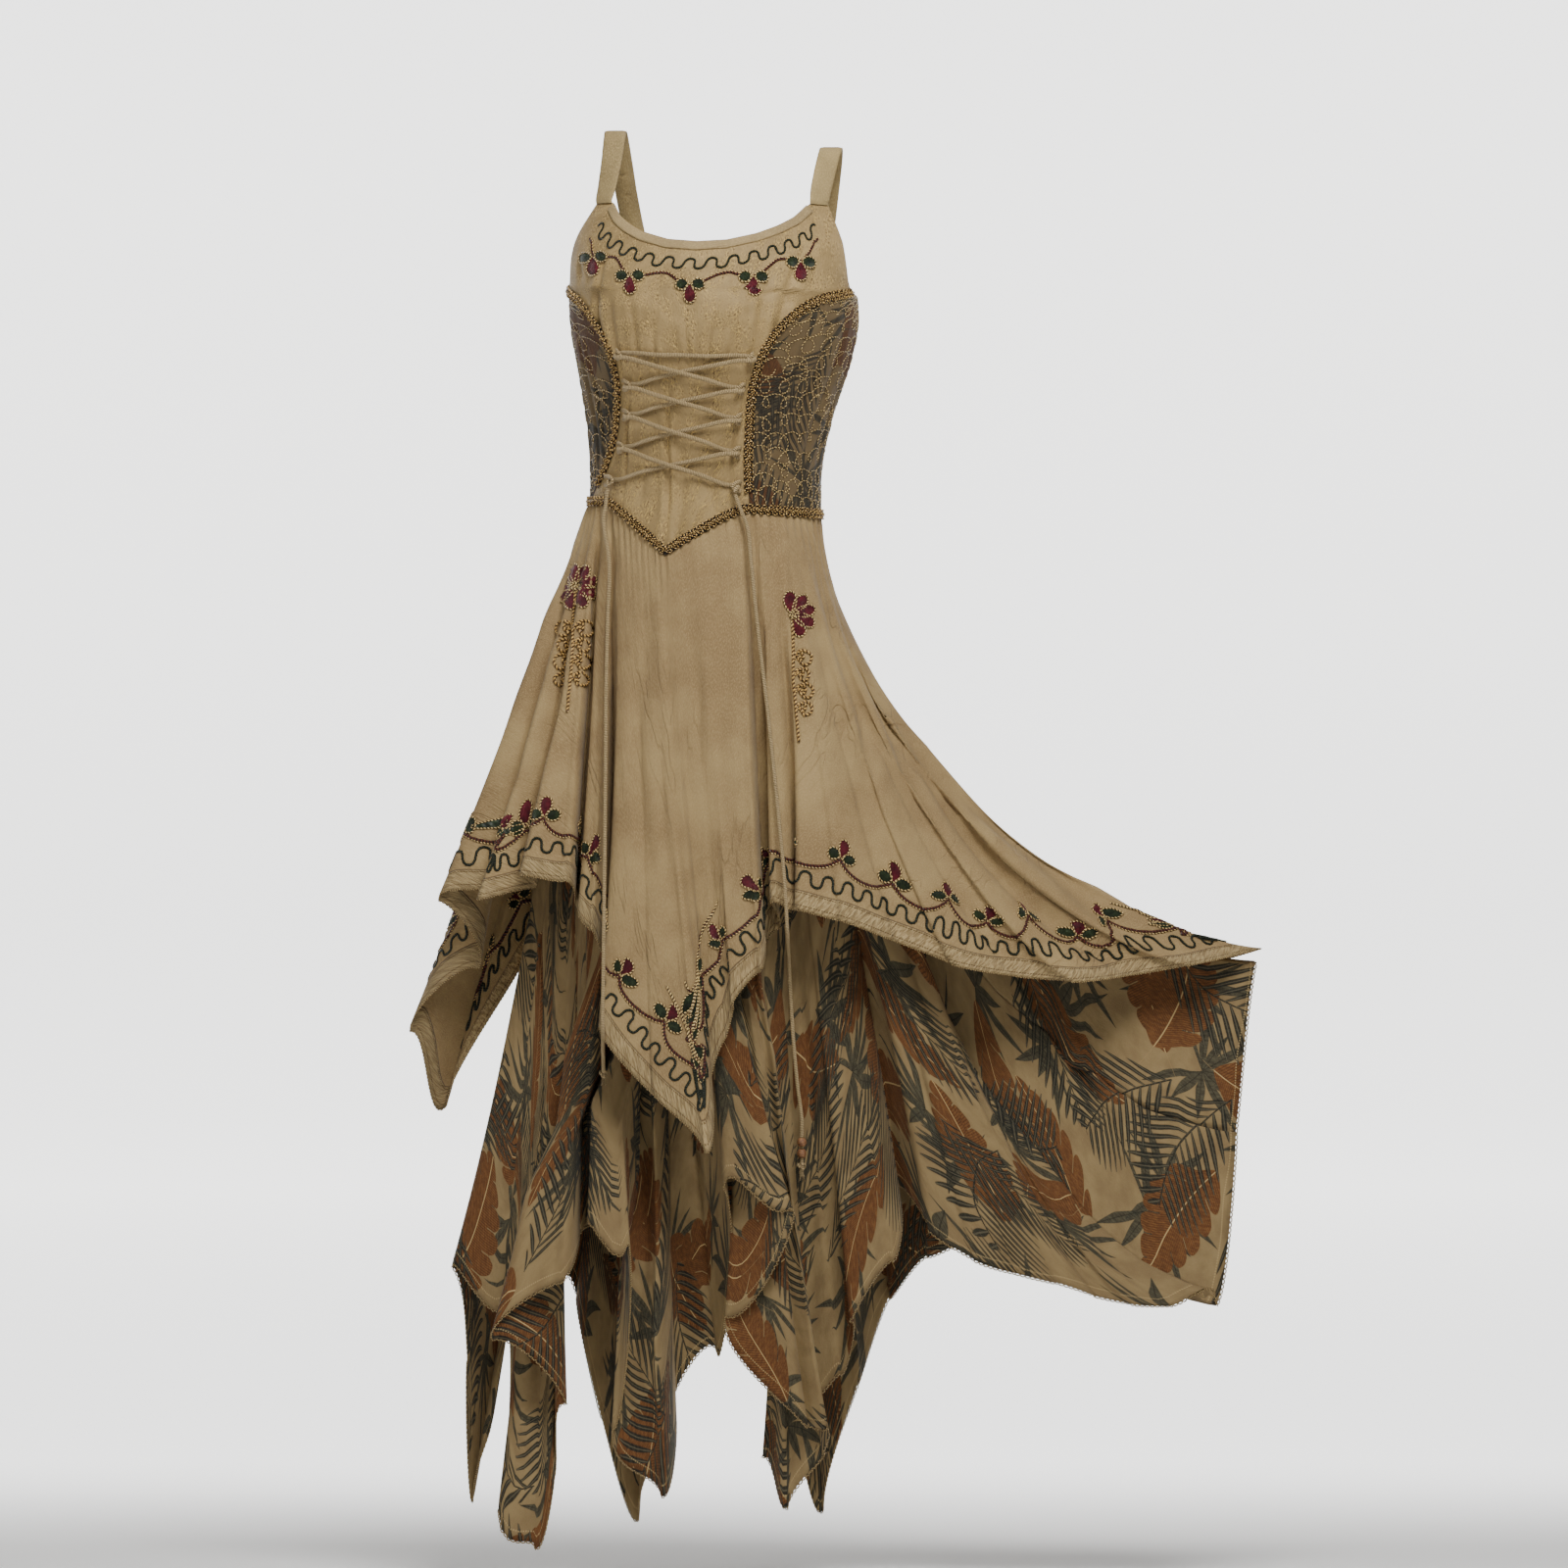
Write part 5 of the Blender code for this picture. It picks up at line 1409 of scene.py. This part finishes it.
class Field:
    """A number that varies over the surface. Arithmetic on it adds Math nodes."""

    def __init__(self, tree, socket):
        self.tree, self.socket = tree, socket

    def do(self, operation, *others, **settings):
        return Field(self.tree, add(self.tree, "Math " + operation, self.socket, *others, **settings))

    def __add__(self, other):
        return self.do("ADD", other)

    def __sub__(self, other):
        return self.do("SUBTRACT", other)

    def __mul__(self, other):
        return self.do("MULTIPLY", other)

    def __truediv__(self, other):
        return self.do("DIVIDE", other)

    def below(self, limit):
        return self.do("LESS_THAN", limit)

    def above(self, limit):
        return self.do("GREATER_THAN", limit)

    def size(self):
        return self.do("ABSOLUTE")

    def cycle(self):
        return self.do("FRACT")

    def power(self, other):
        return self.do("POWER", other)

    def sine(self):
        return self.do("SINE")

    def soft(self, low, high):
        """Rises from 0 to 1 between two values."""
        span = self.socket, low, high, 0.0, 1.0
        return Field(self.tree, add(self.tree, "MapRange", *span, interpolation_type="SMOOTHSTEP"))

# %% [markdown]
# A finish's colour is a base with other colours laid over it, as dye, print and shine are on real cloth.
# How far each one goes comes from unevenness at some scale, and the same numbers give the relief.
# %% What a finish is made of


def material(name):
    """A new material and its node tree, shader and finish."""
    made = bpy.data.materials.new(name)
    made.use_nodes = True
    tree = made.node_tree
    return made, tree, tree.nodes["Principled BSDF"]


def coat(tree, colour, *layers):
    """A colour with others laid over it in turn, each as far as its own share says."""
    for share, over in layers:
        below, above = (linear(c) if isinstance(c, str) else c for c in (colour, over))
        colour = add(tree, "Mix", data_type="RGBA", out=2,
                     named={"Factor_Float": share, "A_Color": below, "B_Color": above})
    return colour


def uneven(tree, where, scale, detail=3.0, rough=0.55, stretch=None):
    """How a finish varies from place to place, in repeats per metre, finer one way if it is stretched."""
    if stretch:
        where = add(tree, "Mapping", where, None, None, stretch)
    grain = {"Vector": where, "Scale": scale, "Detail": detail, "Roughness": rough}
    return Field(tree, add(tree, "TexNoise", named=grain))


def cloth_place(tree, uv, scale=1.0):
    """A place on the cloth as millimetres across it and up it."""
    return (Field(tree, add(tree, "SeparateXYZ", uv, out=k)) * (1000 / scale) for k in (0, 1))


def dress(piece, made):
    """The piece wears one material."""
    piece.data.materials.clear()
    piece.data.materials.append(made)


def wire(tree, shader, colour, roughness, height, distance, sheen=None, specular=0.3):
    """Links a finish's colour, roughness and relief."""
    tree.links.new(getattr(colour, "socket", colour), shader.inputs["Base Color"])
    if isinstance(roughness, float):
        shader.inputs["Roughness"].default_value = roughness
    else:
        tree.links.new(getattr(roughness, "socket", roughness), shader.inputs["Roughness"])
    shader.inputs["Specular IOR Level"].default_value = specular
    if sheen:
        shader.inputs["Sheen Weight"].default_value = sheen
        shader.inputs["Sheen Roughness"].default_value = 0.5
    relief = add(tree, "Bump", named={"Strength": 1.0, "Distance": distance, "Height": height})
    tree.links.new(relief, shader.inputs["Normal"])


# %% [markdown]
# Washed rayon, garment-dyed beige. It is a plain weave of spun thread at about 0.4 mm, drawn here at
# 1.1 mm so that it shows, with a dry crinkle from washing and slightly uneven dye.
# %% Washed rayon


def rayon(name, base, light, dark, hem=0.0):
    """Crinkled plain-weave rayon, with a paler stitched band of a width at its hem."""
    made, tree, shader = material(name)
    spot = add(tree, "TexCoord", out=3)
    uv = add(tree, "UVMap", uv_map="cloth")
    mottle = uneven(tree, spot, 14.0, 4.0, 0.6).soft(0.3, 0.72)
    grain = uneven(tree, uv, 900.0, 2.0, 0.7, (1.0, 0.45, 1.0))
    crinkle = uneven(tree, uv, 90.0, 4.0, 0.6, (1.6, 0.5, 1.0))
    lines = (uneven(tree, uv, 34.0, 2.0, 0.5, (1.5, 0.4, 1.0)) - 0.5).size().soft(0.035, 0.0)
    faint = uneven(tree, uv, 11.0, 2.0, 0.5).soft(0.45, 0.7)
    # The fine crinkle lines are darkened in colour as well as sunk: painted shade in the creases.
    colour = coat(tree, dark, (mottle, base), (grain.soft(0.42, 0.75) * 0.5, light),
                  (lines * faint * 0.3, dark))
    height = crinkle * 0.7 + grain * 0.3 - lines * faint * 0.5
    if hem:
        x, y = cloth_place(tree, uv)
        band = (y * -1 + hem).soft(-0.6, 0.6)
        pucker = uneven(tree, uv, 380.0, 2.0, 0.6, (1.0, 0.28, 1.0))
        rows = (y - 4.0).size().below(0.6) + (y - hem + 2.0).size().below(0.6)
        stitch = rows * (x / 2.6).cycle().below(0.62)
        edge = (y - hem).size().soft(1.0, 0.2)
        shadow = pucker.soft(0.58, 0.42) * band
        colour = coat(tree, colour, (band * 0.65, "#bea679"), (shadow * 0.6, "#75603e"),
                      (stitch * 0.8, "#5b4527"), (edge * 0.7, "#57422a"))
        height = height + (pucker * 2.6 - rows * 0.9) * band
    wire(tree, shader, colour, 0.8, height, 0.0016, sheen=0.06, specular=0.2)
    return made


plain_rayon = rayon("washed rayon", "#a0885e", "#bfa576", "#846c4a", hem=18.0)
plain_back = rayon("washed rayon, back", "#9c855b", "#b79f72", "#806a48")
strap_rayon = rayon("stitched rayon strap", "#a58f62", "#c4ac7a", "#82704c")
binding_rayon = rayon("rayon binding", "#a58e64", "#c4ab7c", "#806d4c")
print("washed rayon has", len(plain_rayon.node_tree.nodes), "nodes")

# %% [markdown]
# The print is an ordinary tropical leaf pattern in three colours. Each leaf is drawn by arithmetic in
# its own cell of a turned grid, and several grids lie over each other so that no row shows.
# %% A turned grid of leaves


def cells(tree, x, y, size, turn, seed, jitter=0.1):
    """Local millimetres in the turned cell that a place falls in, with its own turn and chance."""
    c, s = math.cos(math.radians(turn)), math.sin(math.radians(turn))
    gx, gy = (x * c - y * s) / size + seed * 0.37, (x * s + y * c) / size + seed * 0.71
    cell = add(tree, "CombineXYZ", gx.do("FLOOR"), gy.do("FLOOR"), float(seed))
    dice = add(tree, "TexWhiteNoise", cell, noise_dimensions="3D", out=1)
    one, two, three = (Field(tree, add(tree, "SeparateXYZ", dice, out=k)) for k in range(3))
    lx = (gx.cycle() - 0.5 + (two - 0.5) * jitter) * size
    ly = (gy.cycle() - 0.5 + (three - 0.5) * jitter) * size
    spin = one * 6.2832
    cosine, sine = spin.do("COSINE"), spin.sine()
    return lx * cosine - ly * sine, lx * sine + ly * cosine, two, three

# %% [markdown]
# A palm frond is a bent rib with narrow leaflets that lean forward. The leaflets come from one number
# that repeats along the rib, cut to a width that swells and thins.
# %% Frond


def frond(x, y, length, reach, pitch):
    """A palm frond: narrow leaflets that lean forward from both sides of a bent rib."""
    bent = y - x * x / (length * 2.6)
    away = bent.size()
    root = x + length / 2 - away * 0.95
    share = (root / length).do("MAXIMUM", 0.0).do("MINIMUM", 1.0)
    long = (share.power(0.75) * math.pi).sine().do("MAXIMUM", 0.001).power(0.55) * reach
    out = away / long
    half = (out * 2.75 + 0.25).sine().do("MAXIMUM", 0.0).power(0.9) * 0.56
    phase = (root / pitch + bent.above(0.0) * 0.45).cycle()
    leaf = ((phase - 0.5).size() * 2).do("SUBTRACT", half).soft(0.12, -0.05)
    inside = out.below(1.0) * root.above(0.0) * root.below(length)
    rib = away.below(0.8) * (x.size()).below(length / 2)
    vein = ((phase - 0.5).size()).below(0.06)
    return (leaf * inside).do("MAXIMUM", rib), vein * inside

# %% [markdown]
# A fan leaf is read by turn and distance from its stem. Each whole number of the turn is one leaflet,
# with a length of its own.
# %% Fan leaf


def fan(x, y, radius, leaves):
    """A fan leaf: slender pointed leaflets, no two as long, spread from one place with a gap at the stem."""
    far = (x * x + y * y).do("SQRT")
    turn = y.do("ARCTAN2", x) / (2 * math.pi / leaves)
    pick = turn.do("FLOOR")
    long = ((pick * 2.3).sine() * 0.2 + 0.8) * radius
    out = (far / long).do("MINIMUM", 1.0)
    half = ((out.power(0.8)) * math.pi).sine().do("MAXIMUM", 0.0) * (radius * 0.062)
    off = ((turn.cycle() - 0.5 + (pick * 4.1).sine() * 0.12).size() * (2 * math.pi / leaves)) * far
    spread = turn.size().below(leaves * 0.38)
    return (off - half).soft(0.35, -0.25) * out.below(0.995) * spread, off.below(0.4)

# %% [markdown]
# A broad leaf has a lobed blade, close side veins and pale splits. The veins give the eye the fine
# grain that a flat rust patch would lack.
# %% Broad leaf


def broad(x, y, length, wide):
    """A broad split leaf: its blade, its fine side veins, and the pale splits and midrib."""
    bent = y - x * x / (length * 3.2)
    away = bent.size()
    share = ((x + length / 2) / length).do("MAXIMUM", 0.0).do("MINIMUM", 1.0)
    edge = (share.power(0.85) * math.pi).sine().do("MAXIMUM", 0.0).power(0.7) * wide
    lean = x - away * 0.75
    lobe = (lean / 24).cycle()
    notch = (lobe - 0.5).size() * 2
    rim = edge * ((notch.power(3.0)) * -0.3 + 1.0)
    blade = (away - rim).soft(0.5, -0.5)
    split = (notch.above(0.95)) * (away / (edge + 0.01)).above(0.42)
    veins = ((lean / 2.5).cycle() - 0.5).size().below(0.17)
    return blade * (split * -1 + 1.0), veins, away.below(0.55) + split

# %% [markdown]
# The print lays the leaves over a mottled ground, and a row of hem stitching goes on last. A slight
# bend of every place keeps the rows of the grids from showing.
# %% The whole print


def leaf_print(name, ground, scale=1.0, shade=1.0):
    """Rayon printed with leaves: brown fans below, rust blades, then dark and pale fronds on top."""
    made, tree, shader = material(name)
    uv = add(tree, "UVMap", uv_map="cloth")
    bend = add(tree, "TexNoise", named={"Vector": uv, "Scale": 9.0, "Detail": 1.0}, out=1)
    even = add(tree, "VectorMath SUBTRACT", bend, (0.5, 0.5, 0.5))
    where = add(tree, "VectorMath ADD", uv, add(tree, "VectorMath SCALE", even, named={"Scale": 0.014}))
    x, y = cloth_place(tree, where, scale)
    mottle = uneven(tree, uv, 30.0, 4.0, 0.6).soft(0.3, 0.7)
    grain = uneven(tree, uv, 900.0, 2.0, 0.7)
    streak = uneven(tree, uv, 420.0, 3.0, 0.6, (1.0, 0.3, 1.0)).soft(0.35, 0.7)
    colour = coat(tree, "#7c6746", (mottle, ground))
    for size, turn, seed, radius in ((148, 12, 1, 72), (171, 51, 2, 80)):
        lx, ly, _, _ = cells(tree, x, y, size, turn, seed)
        leaf, rib = fan(lx, ly, radius, 12)
        brown = coat(tree, "#2a2a21", (streak, "#4a4737"))
        colour = coat(tree, colour, (leaf * 0.92, brown), (leaf * rib * 0.6, "#191912"))
    for size, turn, seed, some in ((164, 33, 3, 0.12), (211, 70, 4, 0.3)):
        lx, ly, chance, _ = cells(tree, x, y, size, turn, seed, 0.06)
        blade, veins, pale = broad(lx, ly, 140.0, 34.0)
        blade = blade * chance.above(some)
        rust = coat(tree, "#5e3b1e", (streak, "#7b502b"), (veins * 0.6, "#3c2412"))
        colour = coat(tree, colour, (blade, rust), (blade * pale * 0.85, "#b89d6c"))
    for size, turn, seed, some in ((166, 5, 5, 0.15), (205, 40, 6, 0.4)):
        lx, ly, chance, _ = cells(tree, x, y, size, turn, seed)
        leaf, rib = frond(lx, ly, 148.0, 50.0, 11.5)
        leaf = leaf * chance.above(some)
        green = coat(tree, "#151611", (streak, "#2c2d24"))
        colour = coat(tree, colour, (leaf * 0.96, green), (leaf * rib * 0.45, "#6f6650"))
    seam_row = (y * scale - 7.0).size().below(0.6) * (x * scale / 2.4).cycle().below(0.6)
    colour = coat(tree, colour, (grain.soft(0.5, 0.8) * 0.14, "#b8a27a"), (seam_row * 0.6, "#b59c6c"))
    if shade < 1.0:
        colour = coat(tree, colour, (1.0 - shade, "#241b14"))
    crinkle = uneven(tree, uv, 80.0, 4.0, 0.6, (1.4, 0.5, 1.0))
    wire(tree, shader, colour, 0.76, crinkle * 0.7 + grain * 0.3, 0.0014, sheen=0.04, specular=0.2)
    return made


skirt_print = leaf_print("leaf-printed rayon", "#8f7a54")
panel_print = leaf_print("leaf-printed panel", "#86724f", 0.75, 0.52)
print("the print has", len(skirt_print.node_tree.nodes), "nodes")

# %% [markdown]
# The front is a jacquard: a satin weave in which gold-brown threads rise in small sprigs. The raised
# threads are shinier than the ground, so they glint where the cloth turns.
# %% Jacquard


def jacquard():
    """Satin weave with flecks of gold-brown thread in ordinary sprigs."""
    made, tree, shader = material("rayon jacquard")
    uv = add(tree, "UVMap", uv_map="cloth")
    x, y = cloth_place(tree, uv)
    mottle = uneven(tree, uv, 22.0, 4.0, 0.6).soft(0.3, 0.7)
    thread = uneven(tree, uv, 620.0, 2.0, 0.7, (1.0, 0.5, 1.0))
    patch = uneven(tree, uv, 62.0, 3.0, 0.6, (1.6, 0.42, 1.0)).soft(0.47, 0.6)
    sprig = ((x / 7.5 + (y / 31).sine() * 0.5).sine() * (y / 11).sine()).size().soft(0.35, 0.8)
    fleck = thread.soft(0.48, 0.64) * (patch * 0.6 + sprig * 0.45)
    dark = thread.soft(0.44, 0.3) * (patch * 0.9 + sprig * 0.4)
    colour = coat(tree, "#8b744b", (mottle, "#a58b5d"), (thread.soft(0.5, 0.3) * 0.35, "#6b5433"),
                  (fleck, "#d3b069"), (dark * 0.95, "#432c14"))
    crinkle = uneven(tree, uv, 70.0, 3.0, 0.5, (1.8, 0.5, 1.0))
    height = crinkle * 0.7 + thread * 0.4 + fleck * 0.3
    wire(tree, shader, colour, fleck * -0.3 + 0.66, height, 0.0014, sheen=0.04, specular=0.35)
    return made


brocade = jacquard()

# %% [markdown]
# Rayon thread is glossy and twisted. The twist is drawn by each cord's own UV, which runs along it, so it
# follows every turn; the strands could be modelled, but at this size only their stripes show, as a painted
# highlight on each strand and painted shade between them.
# %% Twisted cord


def twisted(name, first, second, pitch, rough=0.45, depth=0.0006):
    """A cord of two twisted strands, in two shades: a painted highlight on them, painted shade between them.
    """
    made, tree, shader = material(name)
    uv = add(tree, "UVMap", uv_map="cloth")
    run, ring = (Field(tree, add(tree, "SeparateXYZ", uv, out=k)) for k in (0, 1))
    twist = ((run * 1000 / pitch + ring) * (2 * math.pi)).sine()
    speck = uneven(tree, add(tree, "TexCoord", out=3), 700.0, 2.0, 0.6).soft(0.35, 0.7)
    # The second shade lies on the strands' crests as a painted highlight, the first in the grooves as painted
    # shade.
    colour = coat(tree, first, (twist.soft(-0.6, 0.6), second), (speck * 0.35, first))
    wire(tree, shader, colour, rough, twist, depth, specular=0.4)
    return made

# %% [markdown]
# Satin stitch is close parallel threads that shine along their length, so a petal shows fine lines and
# a soft gloss. The beads are waxed beech: brown rings under a low gloss.
# %% Satin stitch and wood


def satin(name, first, second):
    """Satin stitch: parallel glossy threads across a petal."""
    made, tree, shader = material(name)
    uv = add(tree, "UVMap", uv_map="cloth")
    x, y = cloth_place(tree, uv)
    strand = ((x * 0.8 + y * 0.35) * 6.5).sine()
    patchy = uneven(tree, add(tree, "TexCoord", out=3), 160.0, 3.0, 0.6).soft(0.3, 0.7)
    # The lighter stripes along the threads are a painted sheen on their crests.
    colour = coat(tree, first, (patchy, second), (strand.soft(0.2, 1.0) * 0.3, second))
    wire(tree, shader, colour, 0.5, strand, 0.0004, specular=0.35)
    return made


def turned_wood():
    """Light wood with end grain and a wax finish."""
    made, tree, shader = material("waxed beech")
    spot = add(tree, "TexCoord", out=3)
    rings = uneven(tree, spot, 260.0, 4.0, 0.6, (1.0, 1.0, 4.0)).soft(0.3, 0.7)
    colour = coat(tree, "#5a3620", (rings, "#a3754c"))
    wire(tree, shader, colour, 0.4, rings, 0.0003, specular=0.5)
    return made

# %% [markdown]
# The cords and threads, each in two shades: a painted highlight on its strands and painted shade between
# them. Gold thread has the widest step between its two shades, because it glints; the couched cords are
# dark and draw the lines of the border, and the lace is matt.
# %% Every cord and thread
gold_thread = twisted("gold rayon thread", "#3e260a", "#ffdc96", 3.4, 0.34)
spray_cord = twisted("old gold couched cord", "#4a2e0e", "#dcb26a", 4.0, 0.34)
vine_thread = twisted("maroon couched cord", "#2a0e0c", "#5e2a1a", 3.2)
green_cord = twisted("dark green couched cord", "#14180e", "#2b321d", 2.4)
edge_thread = twisted("picot edging thread", "#6d5430", "#cdb27c", 2.2)
gimp_cord = twisted("gimp cord", "#553610", "#f0c880", 3.4, 0.3)
lace_cord = twisted("braided rayon cord", "#8a7450", "#c0a87c", 1.6, 0.6, depth=0.0004)
maroon_satin = satin("maroon satin stitch", "#3c0d15", "#6b1d2a")
green_satin = satin("dark green satin stitch", "#12190e", "#2d3a20")
# The gimp's core is near-black: painted shade in the gaps between its rings.
gap_shade_thread = twisted("gimp core in painted gap shade", "#160d05", "#2e1e0d", 1.5, 0.7)
wood = turned_wood()

# %% [markdown]
# The sweep is white paper that glows more towards its back. That stands for the light that a studio
# throws on its backdrop, and leaves the floor near the dress darker than the wall.
# %% Backdrop paper
paper, tree, shader = material("white paper")
shader.inputs["Base Color"].default_value = linear("#f6f5f2")
shader.inputs["Roughness"].default_value = 0.9
back = Field(tree, add(tree, "SeparateXYZ", add(tree, "TexCoord", out=3), out=1)).soft(0.3, 2.2)
tree.links.new(coat(tree, "#454545", (back, (1, 1, 1, 1))), shader.inputs["Emission Color"])
shader.inputs["Emission Strength"].default_value = 1.95

# %% [markdown]
# Every piece now gets its finish.
# %% Finishes on pieces
dress(backdrop, paper)
for (layer, _), (piece, _) in skirt_pieces.items():
    dress(piece, plain_rayon if layer == "overskirt" else skirt_print)
dress(front_cloth, brocade)
dress(left_cloth, panel_print)
dress(right_cloth, panel_print)
dress(back_cloth, plain_back)
for name in ("strap_left_band", "strap_right_band"):
    dress(bpy.data.objects[name], strap_rayon)
dress(binding, binding_rayon)
for piece in braids:
    dress(piece, gimp_cord)
dress(gimp_core, gap_shade_thread)
for piece in [lacing, *free_ends.values(), *loops, left_knot, right_knot]:
    dress(piece, lace_cord)
for piece in bead_pieces:
    dress(piece, wood)
for finish, made in (("gold", gold_thread), ("spray", spray_cord), ("vine", vine_thread),
                     ("green_line", green_cord), ("maroon", maroon_satin), ("green", green_satin),
                     ("edging", edge_thread)):
    dress(sewn[finish], made)
print("stitched finishes", sorted(sewn))

# %% [markdown]
# Two things can't be read from a mesh: which pieces are limp cord, with the line that each follows, and
# which are cloth, with the flat size of what shows. Here the free ends' lengths are worked out and each
# cloth piece's flat size is printed. A skirt piece widens from the waist to the hem, so its flat width is
# its area over a share of its length.
FLARE = 0.6


def cloth_area(grid):
    """The area of a grid of cloth, in square metres."""
    down, across = np.diff(grid, axis=0)[:, :-1], np.diff(grid, axis=1)[:-1]
    return float(np.sum(np.linalg.norm(np.cross(down, across), axis=2))) * MM * MM


for name, line in ends.items():
    length = float(run_along(line)[-1]) * MM
    with_it = bead_pieces + [right_knot] if name == "right" else [left_knot]
    (line[0] * MM).tolist()
    (line * MM).tolist()
for (layer, part_name), (piece, cut) in skirt_pieces.items():
    along, up = spans(cut)
    long, area = up[0].max() * MM, cloth_area(cut)
    wide = area / (FLARE * long)
    hem = along[-1, -1] * MM
    print(layer, part_name, round(wide, 3), round(long, 3), "area", round(area, 3), "hem", round(hem, 2))
for piece, grid in ((front_cloth, front_points), (left_cloth, left_points), (right_cloth, right_points),
                    (back_cloth, back_points)):
    along, up = spans(grid)
    wide, long, area = along.max() * MM, up.max() * MM, cloth_area(grid)
    print(piece.name, round(wide, 3), round(long, 3), "area", round(area, 3))

# %% [markdown]
# The box of the solids, read out as its low and high corners.
# %% The box of the solids
low, high = CAD_BOX
